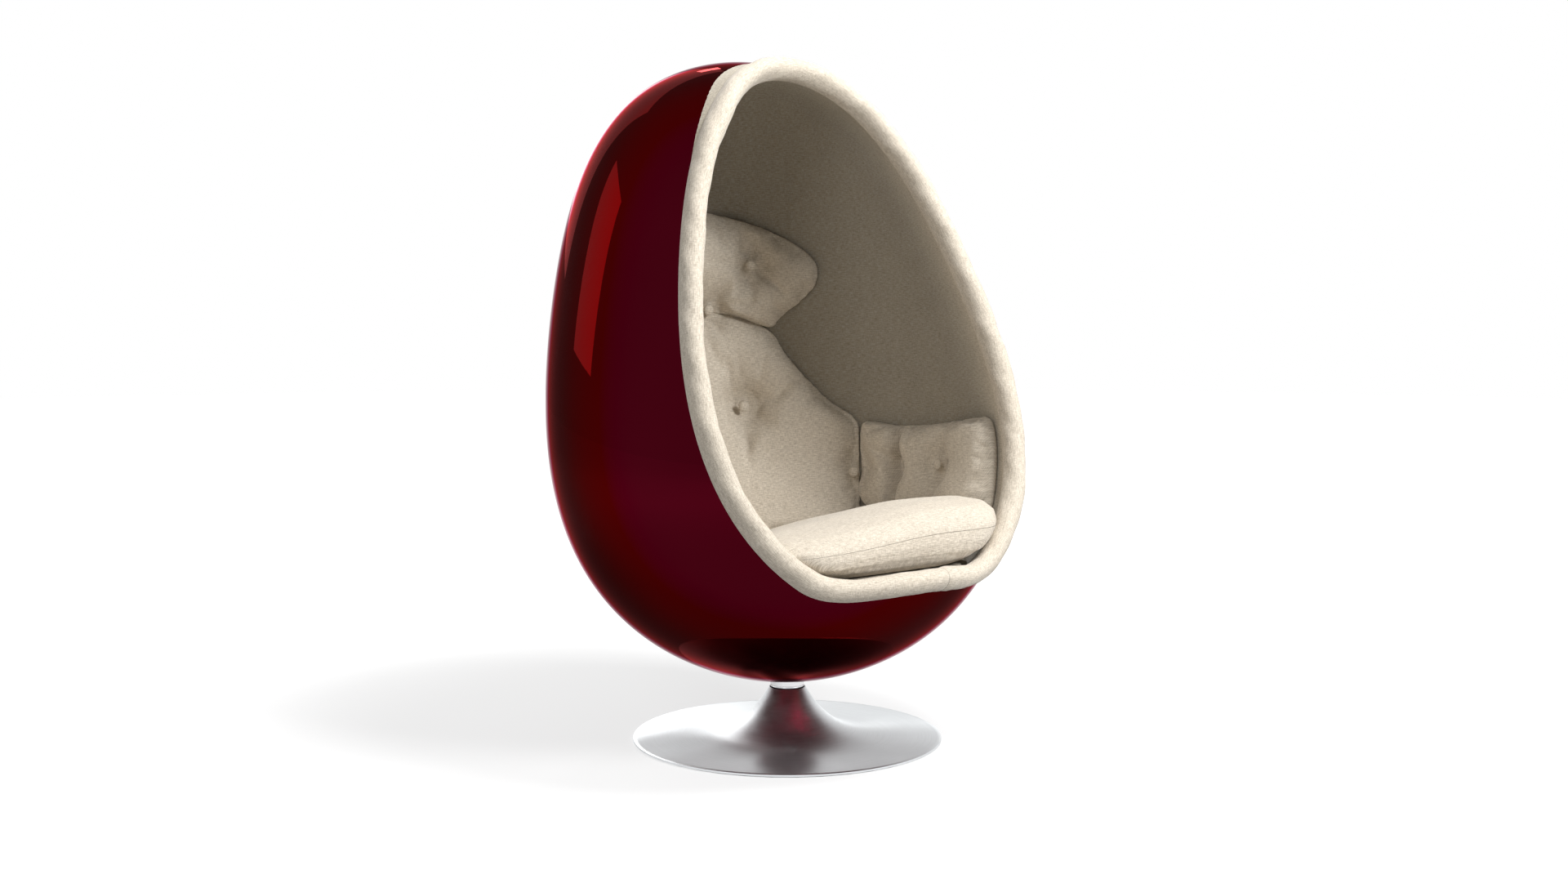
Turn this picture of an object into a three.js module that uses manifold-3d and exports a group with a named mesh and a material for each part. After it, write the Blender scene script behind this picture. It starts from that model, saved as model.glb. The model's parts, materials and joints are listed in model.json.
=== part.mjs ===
// Pod chair: a leaning egg-shaped shell with a padded inside, turning on a trumpet base.
// Millimetres, +Z up. The opening faces -Y, the chair turns about Z, and the floor is z = 0.
import * as THREE from 'three';
import { mergeVertices } from 'three/addons/utils/BufferGeometryUtils.js';
import Module from 'manifold-3d';

const wasm = await Module();
wasm.setup();

// Clearances
const fitGap = 0.3;
const cutOverrun = 20;

// Egg that the shell follows
const eggLength = 1201;
const eggHalfWidth = 446;
const eggLeanDegrees = 16.63;
const eggFootBack = -123.4;
const eggRise = 16.05;
const eggHeartRise = 540;
const bulgeShares = [0.223, 0.132, -0.149];
const shellWall = 5;

// Opening: a leaning plane that curves back at the top, above a sill that droops to the sides
const openingLeanDegrees = 18.87;
const openingBack = -212;
const openingHeight = 650;
const crownStart = 1140;
const crownReach = 140;
const crownBack = 27;
const sillHeight = 337;
const sillDroop = 10;
const sillDroopReach = 150;
const sillCorner = 25;

// Padded lip round the opening
const lipHalfAcross = 20;
const lipHalfDeep = 25;
const lipInward = 9;
const lipForward = 8;
const lipGap = 0.6;

// Lining
const liningDepth = 34;
const liningHoleRadius = 102;
const liningEdgeDraw = 3;

// Trumpet base
const baseRadius = 295;
const neckRadius = 34.5;
const neckTop = 99;
const rimTop = 5.6;
const flarePower = 4.8;
const baseSheet = 2;
const feltThickness = 1.5;
const feltRadius = 291;
const ballastTop = 40;

// Column, bushes and spindle
const columnRadius = 25;
const columnBore = 21;
const columnFoot = 8;
const columnTop = 96;
const flangeRadius = 58;
const flangeThickness = 8;
const flangeBoltCircle = 44;
const bushLength = 15;
const upperBushDrop = 2;
const spindleRadius = 15;
const spindlePlateRadius = 72;
const spindlePlateThickness = 6;
const plateBoltCircle = 52;
const ringGrooveDepth = 2;
const ringGrooveWidth = 2.4;
const ringGrooveHeight = 9.6;
const ringRadius = 19.5;
const washerRadius = 28;
const washerThickness = 3.4;
const collarRadius = 32.5;
const shellBoreRadius = 16;
const mountBlockRadius = 92;
const plateClearance = 13;

// Bolts
const boltCount = 4;
const boltRadius = 4;
const boltHeadRadius = 7;
const boltHeadHeight = 5.5;
const flangeBoltLength = 24;
const plateBoltLength = 17;

// Seat, raked back about the cushion's lower front edge
const seatTiltDegrees = 5.5;
const seatHeight = 358;
const boardThickness = 15;
const foamThickness = 43;
const cushionHalfWidth = 308;
const cushionFront = -346;
const cushionDepth = 612;
const cushionThickness = 108;
const frontCornerPower = 7;
const rearCornerPower = 2.7;
const cushionSeating = 4;
const cornerBack = -234;

// Pads on the lining
const padAxisBack = 40;
const padThickness = 62;
const padRoot = -20;
const seamHalfGap = 1.5;
const seamHalfDegrees = 0.35;
const headTop = 1018;
const neckHeight = 826;
const notchHeight = 781;
const notchDegrees = 38;
const hipHeight = 585;
const hipDegrees = 66;
const seamSpreadDegrees = 3.6;
const backLow = 345;
const sideLow = 395;
const sideTop = 586;
const sideFrontTop = 612;
const sideFrontDegrees = 124;
const dimpleReach = 42;
const dimpleShare = 0.42;
const creaseReach = 16;
const creaseShare = 0.22;
const sideFoldShare = 0.28;
const headCentreHeight = 912;
const backCentreHeight = 560;
const sideCentreHeight = 512;
const headButtonUpShare = 0.5485;
const neckButtonUpShare = 0.778;
const backButtonUpShare = 0.143;
const seamButtonUpShare = 0.554;
const sideButtonUpShare = 0.586;
const headButtonDegrees = 31.1;
const neckButtonDegrees = 17.4;
const backButtonDegrees = 28.6;
const seamButtonDegrees = 66.9;
const sideButtonDegrees = 102.5;
const frameStep = 4;
const frameStepDegrees = 1;

// Covered buttons
const buttonRadius = 12.5;
const buttonHeight = 8;
const edgeSink = 17;
const pocketHeight = 60;

// Facets
const roundSides = 24;
const baseSides = 40;
const boltSides = 12;
const hexSides = 6;
const buttonSides = 12;
const eggColumns = 46;
const columnCrowding = 0.16;
const eggRings = 13;
const frontRings = 6;
const lipArcPoints = 11;
const lipRoomSides = 16;
const padColumns = 36;
const cushionColumns = 48;
const flareSteps = 9;
const flareCrowding = 1.7;
const bulgeSteps = 720;
const marchSteps = 60;
const halvings = 26;

const point = (x, y, z) => new THREE.Vector3(x, y, z);
const radians = THREE.MathUtils.degToRad;

const eggLean = radians(eggLeanDegrees);
const eggAxis = point(0, Math.sin(eggLean), Math.cos(eggLean));
const eggFoot = point(0, eggFootBack, 0);
const openingLean = radians(openingLeanDegrees);
const openingNormal = point(0, -Math.cos(openingLean), Math.sin(openingLean));
const openingUp = point(0, Math.sin(openingLean), Math.cos(openingLean));
const openingPoint = point(0, openingBack, openingHeight);
const sideways = point(1, 0, 0);

// Meshes and solids

function mergedGeometry(geometry) {
  const bare = geometry.clone();
  bare.deleteAttribute('normal');
  bare.deleteAttribute('uv');
  const merged = mergeVertices(bare);
  const source = merged.index.array;
  const kept = [];
  for (let i = 0; i < source.length; i += 3) {
    const [a, b, c] = [source[i], source[i + 1], source[i + 2]];
    if (a !== b && b !== c && c !== a) {
      kept.push(a, b, c);
    }
  }
  merged.setIndex(kept);
  return facingOut(merged);
}

function signedVolume(geometry) {
  const position = geometry.attributes.position;
  const index = geometry.index.array;
  const [a, b, c] = [point(), point(), point()];
  let total = 0;
  for (let i = 0; i < index.length; i += 3) {
    a.fromBufferAttribute(position, index[i]);
    b.fromBufferAttribute(position, index[i + 1]);
    c.fromBufferAttribute(position, index[i + 2]);
    total += a.dot(b.cross(c)) / 6;
  }
  return total;
}

function facingOut(geometry) {
  if (signedVolume(geometry) < 0) {
    const index = Array.from(geometry.index.array);
    for (let i = 0; i < index.length; i += 3) {
      [index[i], index[i + 1]] = [index[i + 1], index[i]];
    }
    geometry.setIndex(index);
  }
  return geometry;
}

function toSolid(geometry) {
  const merged = mergedGeometry(geometry);
  const vertProperties = new Float32Array(merged.attributes.position.array);
  const triVerts = new Uint32Array(merged.index.array);
  return new wasm.Manifold(new wasm.Mesh({ numProp: 3, vertProperties, triVerts }));
}

function toGeometry(solid) {
  const mesh = solid.getMesh();
  const geometry = new THREE.BufferGeometry();
  geometry.setAttribute('position', new THREE.BufferAttribute(new Float32Array(mesh.vertProperties), 3));
  geometry.setIndex(Array.from(mesh.triVerts));
  return geometry;
}

function cut(geometry, ...tools) {
  return toGeometry(tools.reduce((solid, tool) => solid.subtract(toSolid(tool)), toSolid(geometry)));
}

function join(first, second) {
  return toGeometry(toSolid(first).add(toSolid(second)));
}

function common(first, second) {
  return toGeometry(toSolid(first).intersect(toSolid(second)));
}

// Largest body of a solid
function largest(solid) {
  const bodies = solid.decompose();
  return bodies.reduce((best, body) => (body.volume() > best.volume() ? body : best));
}

// Closed surface through rings of points. A ring of one point closes an end; a loop joins last to first.
// From the ring turnedFrom on, faces split along their other diagonal.
function skin(rings, isLoop = false, turnedFrom = rings.length) {
  const positions = [];
  const starts = rings.map((ring) => {
    const start = positions.length / 3;
    ring.forEach((p) => positions.push(p.x, p.y, p.z));
    return start;
  });
  const corner = (ring, place) => starts[ring] + (rings[ring].length === 1 ? 0 : place % rings[ring].length);
  const index = [];
  const strips = isLoop ? rings.length : rings.length - 1;
  for (let k = 0; k < strips; k++) {
    const upper = (k + 1) % rings.length;
    const count = Math.max(rings[k].length, rings[upper].length);
    for (let j = 0; j < count; j++) {
      const [a, b] = [corner(k, j), corner(k, j + 1)];
      const [c, d] = [corner(upper, j + 1), corner(upper, j)];
      if (a === b) {
        index.push(a, c, d);
      } else if (c === d) {
        index.push(a, b, c);
      } else if (k < turnedFrom) {
        index.push(a, b, c, a, c, d);
      } else {
        index.push(a, b, d, b, c, d);
      }
    }
  }
  const geometry = new THREE.BufferGeometry();
  geometry.setAttribute('position', new THREE.Float32BufferAttribute(positions, 3));
  geometry.setIndex(index);
  return facingOut(geometry);
}

// Turned piece about Z from points of radius and height
function turned(profile, sides = roundSides) {
  const points = profile.map(([radius, height]) => new THREE.Vector2(radius, height));
  const geometry = new THREE.LatheGeometry(points, sides);
  geometry.rotateX(Math.PI / 2);
  return mergedGeometry(geometry);
}

function ring(inner, outer, bottom, top, sides = roundSides) {
  return turned([[inner, bottom], [outer, bottom], [outer, top], [inner, top], [inner, bottom]], sides);
}

function disc(radius, bottom, top, sides = roundSides) {
  return turned([[0, bottom], [radius, bottom], [radius, top], [0, top]], sides);
}

// Egg

function bulge(turn) {
  const c = Math.cos(turn);
  return Math.sin(turn) * (1 + bulgeShares[0] * c + bulgeShares[1] * c ** 2 + bulgeShares[2] * c ** 3);
}

const bulgeSamples = Array.from({ length: bulgeSteps }, (unused, i) => bulge((i / bulgeSteps) * Math.PI));
const fullBulge = Math.max(...bulgeSamples);

function isInEgg(place, inset) {
  const local = place.clone().sub(eggFoot);
  const along = local.dot(eggAxis) - inset;
  const length = eggLength - 2 * inset;
  if (along <= 0 || along >= length) {
    return false;
  }
  const away = local.addScaledVector(eggAxis, -along - inset).length();
  return away < ((eggHalfWidth - inset) * bulge(Math.acos(1 - (2 * along) / length))) / fullBulge;
}

// Height of an inset egg's underside at a place
function undersideHeight(x, y, inset) {
  const middle = point(x, y, eggFoot.z + eggHeartRise);
  return furthest(middle, point(0, 0, -1), (place) => isInEgg(place, inset)).z;
}

// Highest place of that underside round the swivel's line, out to a radius
function highestUnderside(radius, inset) {
  return Math.max(...Array.from({ length: roundSides }, (unused, i) => {
    const angle = (2 * Math.PI * i) / roundSides;
    return undersideHeight(radius * Math.cos(angle), radius * Math.sin(angle), inset);
  }));
}

// The egg stands so that its underside clears the neck on the swivel's line
eggFoot.z = neckTop + eggRise - undersideHeight(0, 0, 0);
const eggHeart = eggFoot.clone().addScaledVector(eggAxis, eggHeartRise);
const mountBlockTop = highestUnderside(spindlePlateRadius, shellWall) + plateClearance;

const crownShare = (place) => Math.max(place.z - crownStart, 0) / crownReach;

// Way in which the opening faces at a place's height, longer where the crown is steep
function openingFacing(place) {
  return openingNormal.clone().add(point(0, 0, (2 * crownBack * crownShare(place)) / crownReach));
}

// How far a place lies past the opening: negative where the shell stays
function pastOpening(place) {
  const bend = crownBack * crownShare(place) ** 2;
  const ahead = (place.clone().sub(openingPoint).dot(openingNormal) + bend) / openingFacing(place).length();
  const above = place.z - sillHeight + sillDroop * (place.x / sillDroopReach) ** 2;
  const blend = Math.max(sillCorner - Math.abs(ahead - above), 0);
  return Math.min(ahead, above) - blend ** 2 / (4 * sillCorner);
}

// Halving between a place that passes a test and one that fails it, as a share of the way
function lastPassing(test) {
  let near = 0;
  let far = 1;
  for (let i = 0; i < halvings; i++) {
    const middle = (near + far) / 2;
    if (test(middle)) {
      near = middle;
    } else {
      far = middle;
    }
  }
  return near;
}

// Last place along a ray, in steps and then by halving, where a test still holds
function furthest(origin, direction, test) {
  const at = (distance) => origin.clone().addScaledVector(direction, distance);
  const step = eggLength / marchSteps;
  let near = 0;
  while (near < eggLength && test(at(near + step))) {
    near += step;
  }
  return at(near + step * lastPassing((share) => test(at(near + step * share))));
}

// Direction from the egg's heart: tilt 0 looks straight back, pi out of the opening
function heartRay(tilt, turn) {
  return openingNormal.clone().multiplyScalar(-Math.cos(tilt))
    .addScaledVector(sideways, Math.sin(tilt) * Math.cos(turn))
    .addScaledVector(openingUp, Math.sin(tilt) * Math.sin(turn));
}

function eggPoint(tilt, turn, inset) {
  return furthest(eggHeart, heartRay(tilt, turn), (place) => isInEgg(place, inset));
}

const turns = Array.from({ length: eggColumns }, (unused, j) => {
  const turn = (2 * Math.PI * j) / eggColumns;
  return turn + columnCrowding * Math.cos(turn);
});
const edgeTilts = turns.map((turn) => (
  Math.PI * lastPassing((share) => pastOpening(eggPoint(Math.PI * share, turn, 0)) < 0)
));

const eggRing = (k, inset) => turns.map((turn, j) => eggPoint((edgeTilts[j] * k) / eggRings, turn, inset));

// Rings of points over an inset egg from its rear point to the opening's edge, set back from that edge
// and drawn further in there
function eggGrid(inset, setBack = 0, drawnIn = 0) {
  const rings = [[eggPoint(0, 0, inset)]];
  for (let k = 1; k < eggRings; k++) {
    rings.push(eggRing(k, inset));
  }
  const beyond = eggRing(eggRings + 1, inset + drawnIn);
  rings.push(rings[eggRings - 1].map((place, j) => {
    const share = lastPassing((part) => pastOpening(place.clone().lerp(beyond[j], part)) < -setBack);
    return place.clone().lerp(beyond[j], share);
  }));
  return rings;
}

// Whole inset egg with the same faces behind the opening
function wholeEgg(inset) {
  const rings = [[eggPoint(0, 0, inset)]];
  for (let k = 1; k < eggRings; k++) {
    rings.push(eggRing(k, inset));
  }
  rings.push(eggRing(eggRings + 1, inset + liningEdgeDraw));
  for (let k = 1; k < frontRings; k++) {
    rings.push(turns.map((turn, j) => {
      const start = (edgeTilts[j] * (eggRings + 1)) / eggRings;
      return eggPoint(start + ((Math.PI - start) * k) / frontRings, turn, inset);
    }));
  }
  rings.push([eggPoint(Math.PI, 0, inset)]);
  return skin(rings);
}

// Wall between two such grids. Both faces split alike, so walls that lie against each other stay apart.
function wall(outside, inside) {
  return skin([...outside, ...inside.toReversed()], false, outside.length);
}

const shellOutside = eggGrid(0);
const shellInside = eggGrid(shellWall);
const liningSetBack = lipHalfDeep - lipForward + lipGap;
const liningOutside = eggGrid(shellWall + fitGap, liningSetBack, liningEdgeDraw);
const liningInside = eggGrid(liningDepth, liningSetBack, -liningEdgeDraw);
const uncutShell = wall(shellOutside, shellInside);

// Lip: an oval roll along the edge, with a step for the shell's wall

const edge = shellOutside[eggRings];
const innerEdge = shellInside[eggRings];

const lipFrames = edge.map((place, j) => {
  const ahead = edge[(j + 1) % eggColumns].clone().sub(edge[(j + eggColumns - 1) % eggColumns]).normalize();
  const inward = openingFacing(place).cross(ahead);
  inward.addScaledVector(ahead, -inward.dot(ahead)).normalize();
  const forward = ahead.clone().cross(inward);
  const step = innerEdge[j].clone().sub(place).dot(inward) + lipGap;
  const centre = place.clone().addScaledVector(inward, lipInward).addScaledVector(forward, lipForward);
  return { place, inward, forward, step, centre };
});

function lipSection({ place, inward, forward, step, centre }) {
  const startTurn = Math.PI - Math.asin((lipGap - lipForward) / lipHalfDeep);
  const endTurn = -Math.acos((step - lipInward) / lipHalfAcross);
  const at = (across, out) => place.clone().addScaledVector(inward, across).addScaledVector(forward, out);
  const points = [];
  for (let i = 0; i <= lipArcPoints; i++) {
    const turn = startTurn + ((endTurn - startTurn) * i) / lipArcPoints;
    points.push(centre.clone()
      .addScaledVector(inward, lipHalfAcross * Math.cos(turn))
      .addScaledVector(forward, lipHalfDeep * Math.sin(turn)));
  }
  points.push(at(step, lipGap));
  return points;
}

// The lip's oval, grown by the fit, for what lies against it
function lipRoom() {
  return skin(lipFrames.map(({ inward, forward, centre }) => {
    const growth = Math.cos(Math.PI / lipRoomSides);
    const halfAcross = (lipHalfAcross + 2 * fitGap) / growth;
    const halfDeep = (lipHalfDeep + 2 * fitGap) / growth;
    return Array.from({ length: lipRoomSides }, (unused, i) => {
      const turn = (2 * Math.PI * i) / lipRoomSides;
      return centre.clone()
        .addScaledVector(inward, halfAcross * Math.cos(turn))
        .addScaledVector(forward, halfDeep * Math.sin(turn));
    });
  }), true);
}

function distanceToLip(place) {
  const nearest = point();
  const side = new THREE.Line3();
  return Math.min(...lipFrames.map(({ centre }, j) => {
    side.set(centre, lipFrames[(j + 1) % eggColumns].centre);
    return side.closestPointToPoint(place, true, nearest).distanceTo(place);
  }));
}

// A place inside an inset egg, or ahead of the lining's edge, that keeps clear of the lip
function isFree(place, inset, isAheadAllowed = false) {
  const isAhead = isAheadAllowed && pastOpening(place) > -liningSetBack;
  return (isAhead || isInEgg(place, inset)) && distanceToLip(place) > lipHalfDeep + fitGap;
}

// The lining, grown by the fit
const liningRoomInside = eggGrid(liningDepth + fitGap, liningSetBack - fitGap, -liningEdgeDraw);
const liningRoom = wall(liningOutside, liningRoomInside);

const room = toSolid(wholeEgg(liningDepth + fitGap)).subtract(toSolid(lipRoom()));

// A soft or fitted piece trimmed to the room inside the lining and the lip, less its pockets
function fitted(geometry, ...pockets) {
  const trimmed = toSolid(geometry).intersect(room);
  return toGeometry(largest(pockets.reduce((solid, pocket) => solid.subtract(toSolid(pocket)), trimmed)));
}

// Pads: laid out by the angle about the pads' own upright line, the height and the depth from the egg

function padPoint(degrees, height, inset) {
  const angle = radians(degrees);
  const direction = point(Math.sin(angle), Math.cos(angle), 0);
  return furthest(point(0, padAxisBack, height), direction, (place) => isFree(place, inset));
}

// Share of the radius and share of the thickness, from the crown over the drawn-in side
const padSectionShares = [
  [0.22, 0.99], [0.42, 0.96], [0.6, 0.9], [0.76, 0.8], [0.88, 0.66], [0.96, 0.46], [1, 0.24], [0.985, 0.06],
];
const padRootShares = [0.96, 0.5];

// How much of its thickness a pad keeps near its buttons and sewn channels
function keptShare(place, pulls) {
  return pulls.reduce((kept, { from, to, reach, share }) => {
    const nearest = new THREE.Line3(from, to).closestPointToPoint(place, true, point());
    return kept * (1 - share * Math.exp(-((nearest.distanceTo(place) / reach) ** 2)));
  }, 1);
}

function buttonPull(degrees, height) {
  const place = padPoint(degrees, height, liningDepth);
  return { from: place, to: place.clone().setZ(height + frameStep), reach: dimpleReach, share: dimpleShare };
}

function crease([degreesA, heightA], [degreesB, heightB], reach = creaseReach, share = creaseShare) {
  const from = padPoint(degreesA, heightA, liningDepth);
  const to = padPoint(degreesB, heightB, liningDepth);
  return { from, to, reach, share };
}

function padGeometry(outline, [centreDegrees, centreHeight], pulls) {
  const corners = outline.map(([degrees, height]) => point(degrees, height, 0));
  const curve = new THREE.CatmullRomCurve3(corners, true, 'catmullrom');
  const border = curve.getPoints(padColumns).slice(0, padColumns);
  const place = ({ x, y }, radialShare) => [
    centreDegrees + (x - centreDegrees) * radialShare, centreHeight + (y - centreHeight) * radialShare,
  ];
  const at = ([degrees, height], share) => {
    const kept = keptShare(padPoint(degrees, height, liningDepth), pulls);
    return padPoint(degrees, height, liningDepth + padThickness * share * kept);
  };
  const rings = padSectionShares.map(([radialShare, depthShare]) => (
    border.map((corner) => at(place(corner, radialShare), depthShare))
  ));
  const roots = padRootShares.map((radialShare) => (
    border.map((corner) => padPoint(...place(corner, radialShare), padRoot))
  ));
  const centre = [centreDegrees, centreHeight];
  return skin([[at(centre, 1)], ...rings, ...roots, [padPoint(...centre, padRoot)]]);
}

const opposite = ([degrees, ...rest]) => [-degrees, ...rest];
const mirrored = (places) => places.map(opposite);
const symmetric = (half) => [...half, ...mirrored(half.slice(1, -1)).reverse()];

// Crease between head and back, and the seam between back and side, as share of angle and share of height
const neckShares = [[0, 1], [0.24, 0.95], [0.5, 0.72], [0.76, 0.42], [1, 0]];
const neckLine = neckShares.map(([across, up]) => [
  notchDegrees * across, notchHeight + (neckHeight - notchHeight) * up,
]);
const headShares = [
  [0, 1], [0.44, 0.96], [0.86, 0.86], [1.22, 0.7], [1.4, 0.53], [1.39, 0.36], [1.25, 0.21], [1.08, 0.07],
];
const headHalf = headShares.map(([across, up]) => [
  notchDegrees * across, notchHeight + (headTop - notchHeight) * up,
]);
const aboveNeck = neckLine.slice(1).reverse().map(([degrees, height]) => [degrees, height + seamHalfGap]);
const headOutline = symmetric([...headHalf, ...aboveNeck, [0, neckHeight + seamHalfGap]]);

const belowNeck = neckLine.slice(0, -1).map(([degrees, height]) => [degrees, height - seamHalfGap]);
const flankShares = [[0, 0.97], [0.29, 0.66], [0.64, 0.31], [0.96, 0.03]];
const flank = flankShares.map(([across, up]) => [
  notchDegrees + (hipDegrees - notchDegrees) * across, hipHeight + (notchHeight - hipHeight) * up,
]);
const seamShares = [[0, 0.86], [0.25, 0.6], [0.7, 0.35], [1, 0.12]];
const seamLine = seamShares.map(([across, up]) => [
  hipDegrees + seamSpreadDegrees * across, backLow + (hipHeight - backLow) * up,
]);
const besideSeam = seamLine.map(([degrees, height]) => [degrees - seamHalfDegrees, height]);
const backFloorShares = [[0.95, 0.02], [0.55, 0], [0, 0]];
const backFloor = backFloorShares.map(([across, up]) => [
  hipDegrees * across, backLow + (hipHeight - backLow) * up,
]);
const backOutline = symmetric([...belowNeck, ...flank, ...besideSeam, ...backFloor]);

const sideRise = sideTop - sideLow;
const sideSeamShares = [[0.2, 0.93], [0.3, 0.5], [0.62, 0.16]];
const sideSeam = sideSeamShares.map(([across, up]) => [
  hipDegrees + seamSpreadDegrees * across + seamHalfDegrees, sideLow + sideRise * up,
]);
const sideSpan = sideFrontDegrees - hipDegrees;
const sideTopShares = [[0.08, 0.985], [0.22, 0.955], [0.4, 0.975], [0.6, 1.03]];
const sideTopLine = sideTopShares.map(([across, up]) => [
  hipDegrees + sideSpan * across, sideLow + sideRise * up,
]);
const frontRise = sideFrontTop - sideLow;
const sideFrontShares = [[0.82, 0.97], [0.95, 0.99], [1.01, 0.88], [1.07, 0.5], [1.13, 0.14]];
const sideFront = sideFrontShares.map(([across, up]) => [
  hipDegrees + sideSpan * across, sideLow + frontRise * up,
]);
const sideFloorShares = [[1.05, 0.01], [0.75, 0], [0.45, 0], [0.18, 0.01]];
const sideFloor = sideFloorShares.map(([across, up]) => [
  hipDegrees + sideSpan * across, sideLow + sideRise * up,
]);
const sideOutline = [...sideSeam.toReversed(), ...sideTopLine, ...sideFront, ...sideFloor];

// Covered buttons and the dimples they pull; those in a seam sit deeper

const upFrom = (low, high, share) => low + (high - low) * share;
const headButton = [headButtonDegrees, upFrom(notchHeight, headTop, headButtonUpShare)];
const neckButton = [neckButtonDegrees, upFrom(notchHeight, neckHeight, neckButtonUpShare), edgeSink];
const backButton = [backButtonDegrees, upFrom(hipHeight, notchHeight, backButtonUpShare)];
const seamButton = [seamButtonDegrees, upFrom(backLow, hipHeight, seamButtonUpShare), edgeSink];
const sideButton = [sideButtonDegrees, upFrom(sideLow, sideTop, sideButtonUpShare)];
const bothSides = (...places) => places.flatMap((place) => [place, opposite(place)]);
const pullsAt = (...places) => places.map(([degrees, height]) => buttonPull(degrees, height));

function buttonFrame([degrees, height, sink = 0]) {
  const inset = liningDepth + padThickness * (1 - dimpleShare) - sink;
  const here = padPoint(degrees, height, inset);
  const higher = padPoint(degrees, height + frameStep, inset).sub(here);
  const beside = padPoint(degrees + frameStepDegrees, height, inset).sub(here);
  const inward = beside.cross(higher).normalize();
  return { here, turn: new THREE.Quaternion().setFromUnitVectors(point(0, 0, 1), inward) };
}

function pocketAt(place) {
  const { here, turn } = buttonFrame(place);
  const pocket = disc(buttonRadius + fitGap, -fitGap, pocketHeight, buttonSides);
  pocket.applyQuaternion(turn);
  pocket.translate(here.x, here.y, here.z);
  return pocket;
}

const buttonShares = [[1, 0], [1, 0.3], [0.86, 0.68], [0.5, 0.94]];
const buttonProfile = buttonShares.map(([across, up]) => [buttonRadius * across, buttonHeight * up]);
const buttonGeometry = turned([[0, 0], ...buttonProfile, [0, buttonHeight]], buttonSides);

// Seat pieces: layers along the raked seat, limited by the lining and the lip

const seatTilt = radians(seatTiltDegrees);
const seatRearward = point(0, Math.cos(seatTilt), -Math.sin(seatTilt));
const seatUpward = point(0, Math.sin(seatTilt), Math.cos(seatTilt));
const seatFront = point(0, cushionFront, seatHeight);

// Place on the seat's middle line, by its distance from the cushion's front and its rise
function seatPlace(along, rise) {
  return seatFront.clone().addScaledVector(seatRearward, along).addScaledVector(seatUpward, rise);
}

// Ring of points round the seat's middle, each as far out as the test allows
function seatRing(rise, isAllowed, radiusAt) {
  const origin = seatPlace(cushionDepth / 2, rise);
  return Array.from({ length: cushionColumns }, (unused, j) => {
    const angle = (2 * Math.PI * j) / cushionColumns;
    const direction = sideways.clone().multiplyScalar(Math.sin(angle));
    direction.addScaledVector(seatRearward, Math.cos(angle));
    const limit = furthest(origin, direction, isAllowed).distanceTo(origin);
    return origin.clone().addScaledVector(direction, Math.min(radiusAt(angle), limit));
  });
}

function seatLayer(bottom, thickness) {
  const top = bottom + thickness;
  const rings = [bottom, top].map((rise) => (
    seatRing(rise, (place) => isFree(place, padRoot), () => eggLength)
  ));
  return fitted(skin([[seatPlace(cushionDepth / 2, bottom)], ...rings, [seatPlace(cushionDepth / 2, top)]]));
}

// Share of the plan's radius and share of the thickness, from below, past the seam, to the crown
const cushionSectionShares = [
  [0.5, 0], [0.84, 0], [0.93, 0.05], [0.975, 0.2], [0.995, 0.4], [1, 0.55],
  [0.985, 0.68], [0.94, 0.8], [0.85, 0.89], [0.66, 0.965], [0.35, 1],
];

// Rounded plan of the cushion: its radius at an angle from straight back
function cushionRadius(angle) {
  const power = Math.cos(angle) < 0 ? frontCornerPower : rearCornerPower;
  const across = Math.abs(Math.sin(angle) / cushionHalfWidth) ** power;
  const along = Math.abs((2 * Math.cos(angle)) / cushionDepth) ** power;
  return (across + along) ** (-1 / power);
}

function cushionGeometry() {
  const padFront = liningDepth + padThickness + cushionSeating;
  const isAllowed = (place) => {
    const inset = place.y < cornerBack ? liningDepth + cushionSeating : padFront;
    return isFree(place, inset, true);
  };
  const rings = cushionSectionShares.map(([radialShare, riseShare]) => (
    seatRing(cushionThickness * riseShare, isAllowed, (angle) => cushionRadius(angle) * radialShare)
  ));
  const middle = cushionDepth / 2;
  const whole = skin([[seatPlace(middle, 0)], ...rings, [seatPlace(middle, cushionThickness)]]);
  return toGeometry(largest(toSolid(cut(whole, lipRoom(), liningRoom))));
}

// Base

function flarePoint(radius, depth = 0) {
  const [span, rise] = [baseRadius - neckRadius, neckTop - rimTop];
  const outward = (baseRadius - radius) / span;
  const height = rimTop + rise * outward ** flarePower;
  const slope = (-flarePower * rise * outward ** (flarePower - 1)) / span;
  const size = Math.hypot(1, slope);
  return [radius + (depth * slope) / size, height - depth / size];
}

const flareRadii = Array.from({ length: flareSteps + 1 }, (unused, i) => (
  neckRadius + (baseRadius - neckRadius) * (i / flareSteps) ** flareCrowding
));

const plateFoot = feltThickness + fitGap;

function trumpetGeometry() {
  const outside = flareRadii.map((radius) => flarePoint(radius));
  const inner = flareRadii.slice(0, -1).map((radius) => flarePoint(radius, baseSheet)).reverse();
  const skirtRadius = baseRadius - baseSheet;
  const skirt = [[baseRadius, plateFoot], [skirtRadius, plateFoot], [skirtRadius, rimTop - baseSheet]];
  return turned([...outside, ...skirt, ...inner, outside[0]], baseSides);
}

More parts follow.
